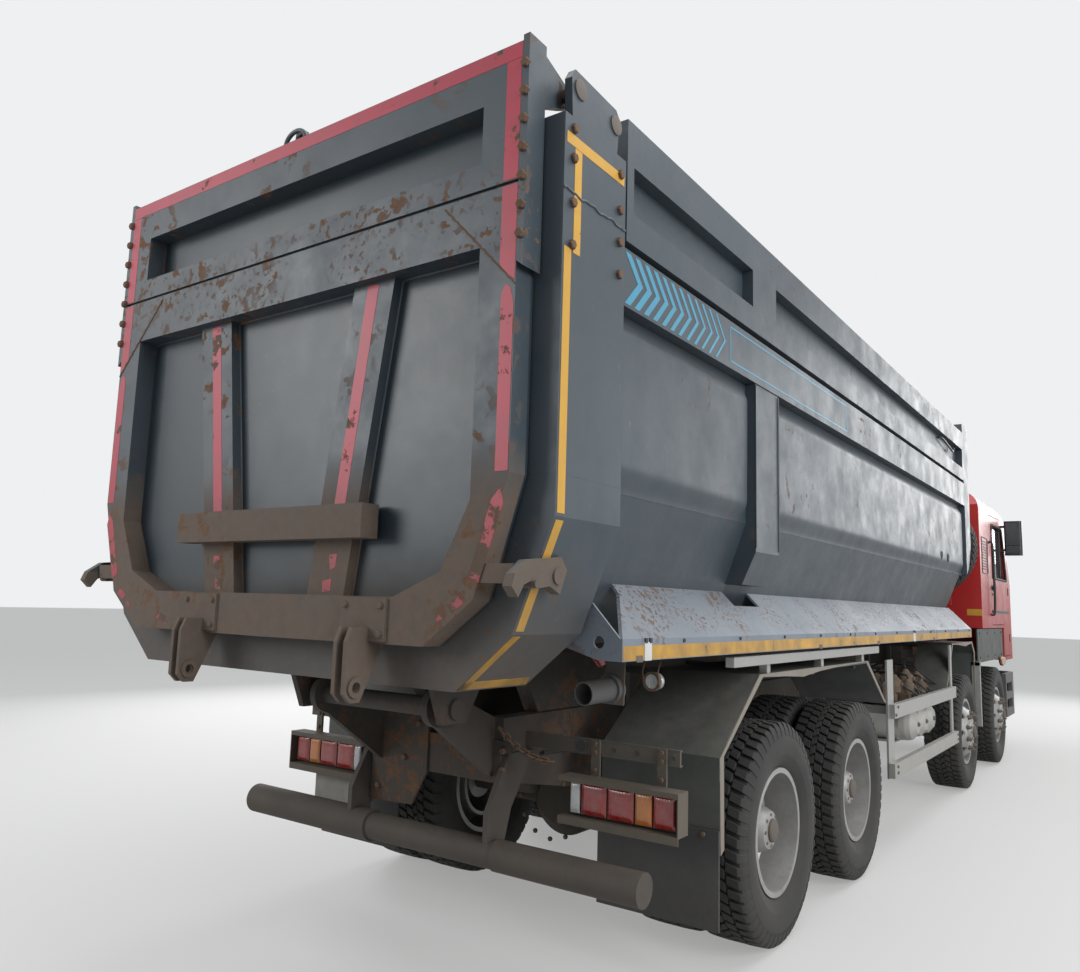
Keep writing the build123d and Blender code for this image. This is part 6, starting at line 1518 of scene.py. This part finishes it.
# Inside the cab: y counted from the last axle, z from the floor
cabinTrim = {
    "floor": 1.53, "hood": ((7.6, 0.5), (7.66, 0.58), (7.86, 0.6), (7.9, 0.44), (7.66, 0.47)),
    "hoodXs": (-0.86, -0.36), "tunnel": (-0.29, 0.29, 6.68, 7.54), "tunnelTop": 0.24,
    "ventXs": (-1.0, -0.12, 0.12, 0.62, 1.0), "ventZs": (0.325, 0.345, 0.365, 0.385),
    "ventHalf": 0.07, "ventYs": (7.553, 7.561), "ventHeight": 0.01,
    "lever": ((-0.12, 7.3, 0.24), (-0.13, 7.26, 0.42), (-0.14, 7.2, 0.58)), "knobAt": (-0.14, 7.195, 0.6),
    "knob": [(-0.03, 0.0), (-0.028, 0.018), (0.0, 0.03), (0.024, 0.022), (0.032, 0.0)],
    "boot": [(0.0, 0.0), (0.0, 0.075), (0.03, 0.052), (0.06, 0.044), (0.085, 0.022), (0.085, 0.0)],
    # Pedals: (x, half width, z). Two hang from arms, and a stalk stands out on each side of the column
    "pedals": ((-0.78, 0.038, 0.09), (-0.6, 0.04, 0.09), (-0.44, 0.03, 0.05)),
    "pedalYs": (7.5, 7.53), "pedalHeight": 0.1, "armXs": (-0.78, -0.6),
    "arm": ((7.53, 0.13), (7.6, 0.24), (7.64, 0.34)),
    "columnX": -0.6, "stalk": ((0.03, 7.42, 0.46), (0.12, 7.39, 0.5), (0.17, 7.38, 0.53)),
}


def cabinControls(s):
    # Binnacle over the gauges, engine tunnel, vents, gear lever, pedals and stalk switches
    floor = s["floor"]

    def raised(points):
        return [(x, y, floor + z) for x, y, z in points]

    parts = [slab([(lastAxle + y, floor + z) for y, z in s["hood"]], "X", *s["hoodXs"]),
        box(*s["tunnel"], floor, floor + s["tunnelTop"])]
    parts += [box(x - s["ventHalf"], x + s["ventHalf"], *s["ventYs"], floor + z, floor + z + s["ventHeight"])
        for x in s["ventXs"] for z in s["ventZs"]]
    parts += [bar(raised(s["lever"]), 0.011, 10, 8), disc(s["knob"], *raised([s["knobAt"]]), "Z", 20),
        disc(s["boot"], *raised(s["lever"][:1]), "Z", 24)]
    parts += [box(x - w, x + w, *s["pedalYs"], floor + z, floor + z + s["pedalHeight"])
        for x, w, z in s["pedals"]]
    parts += [bar(raised([(x, y, z) for y, z in s["arm"]]), 0.01) for x in s["armXs"]]
    parts += [bar(raised([(s["columnX"] + side * x, y, z) for x, y, z in s["stalk"]]), 0.008)
        for side in (-1, 1)]
    onCab("cab_controls", "blackPlastic", "cab_plastic", *parts, bevel=0.002)


bedFittings(bedTrim)
cabFlank(flankTrim)
cabinControls(cabinTrim)
print("small things ready")
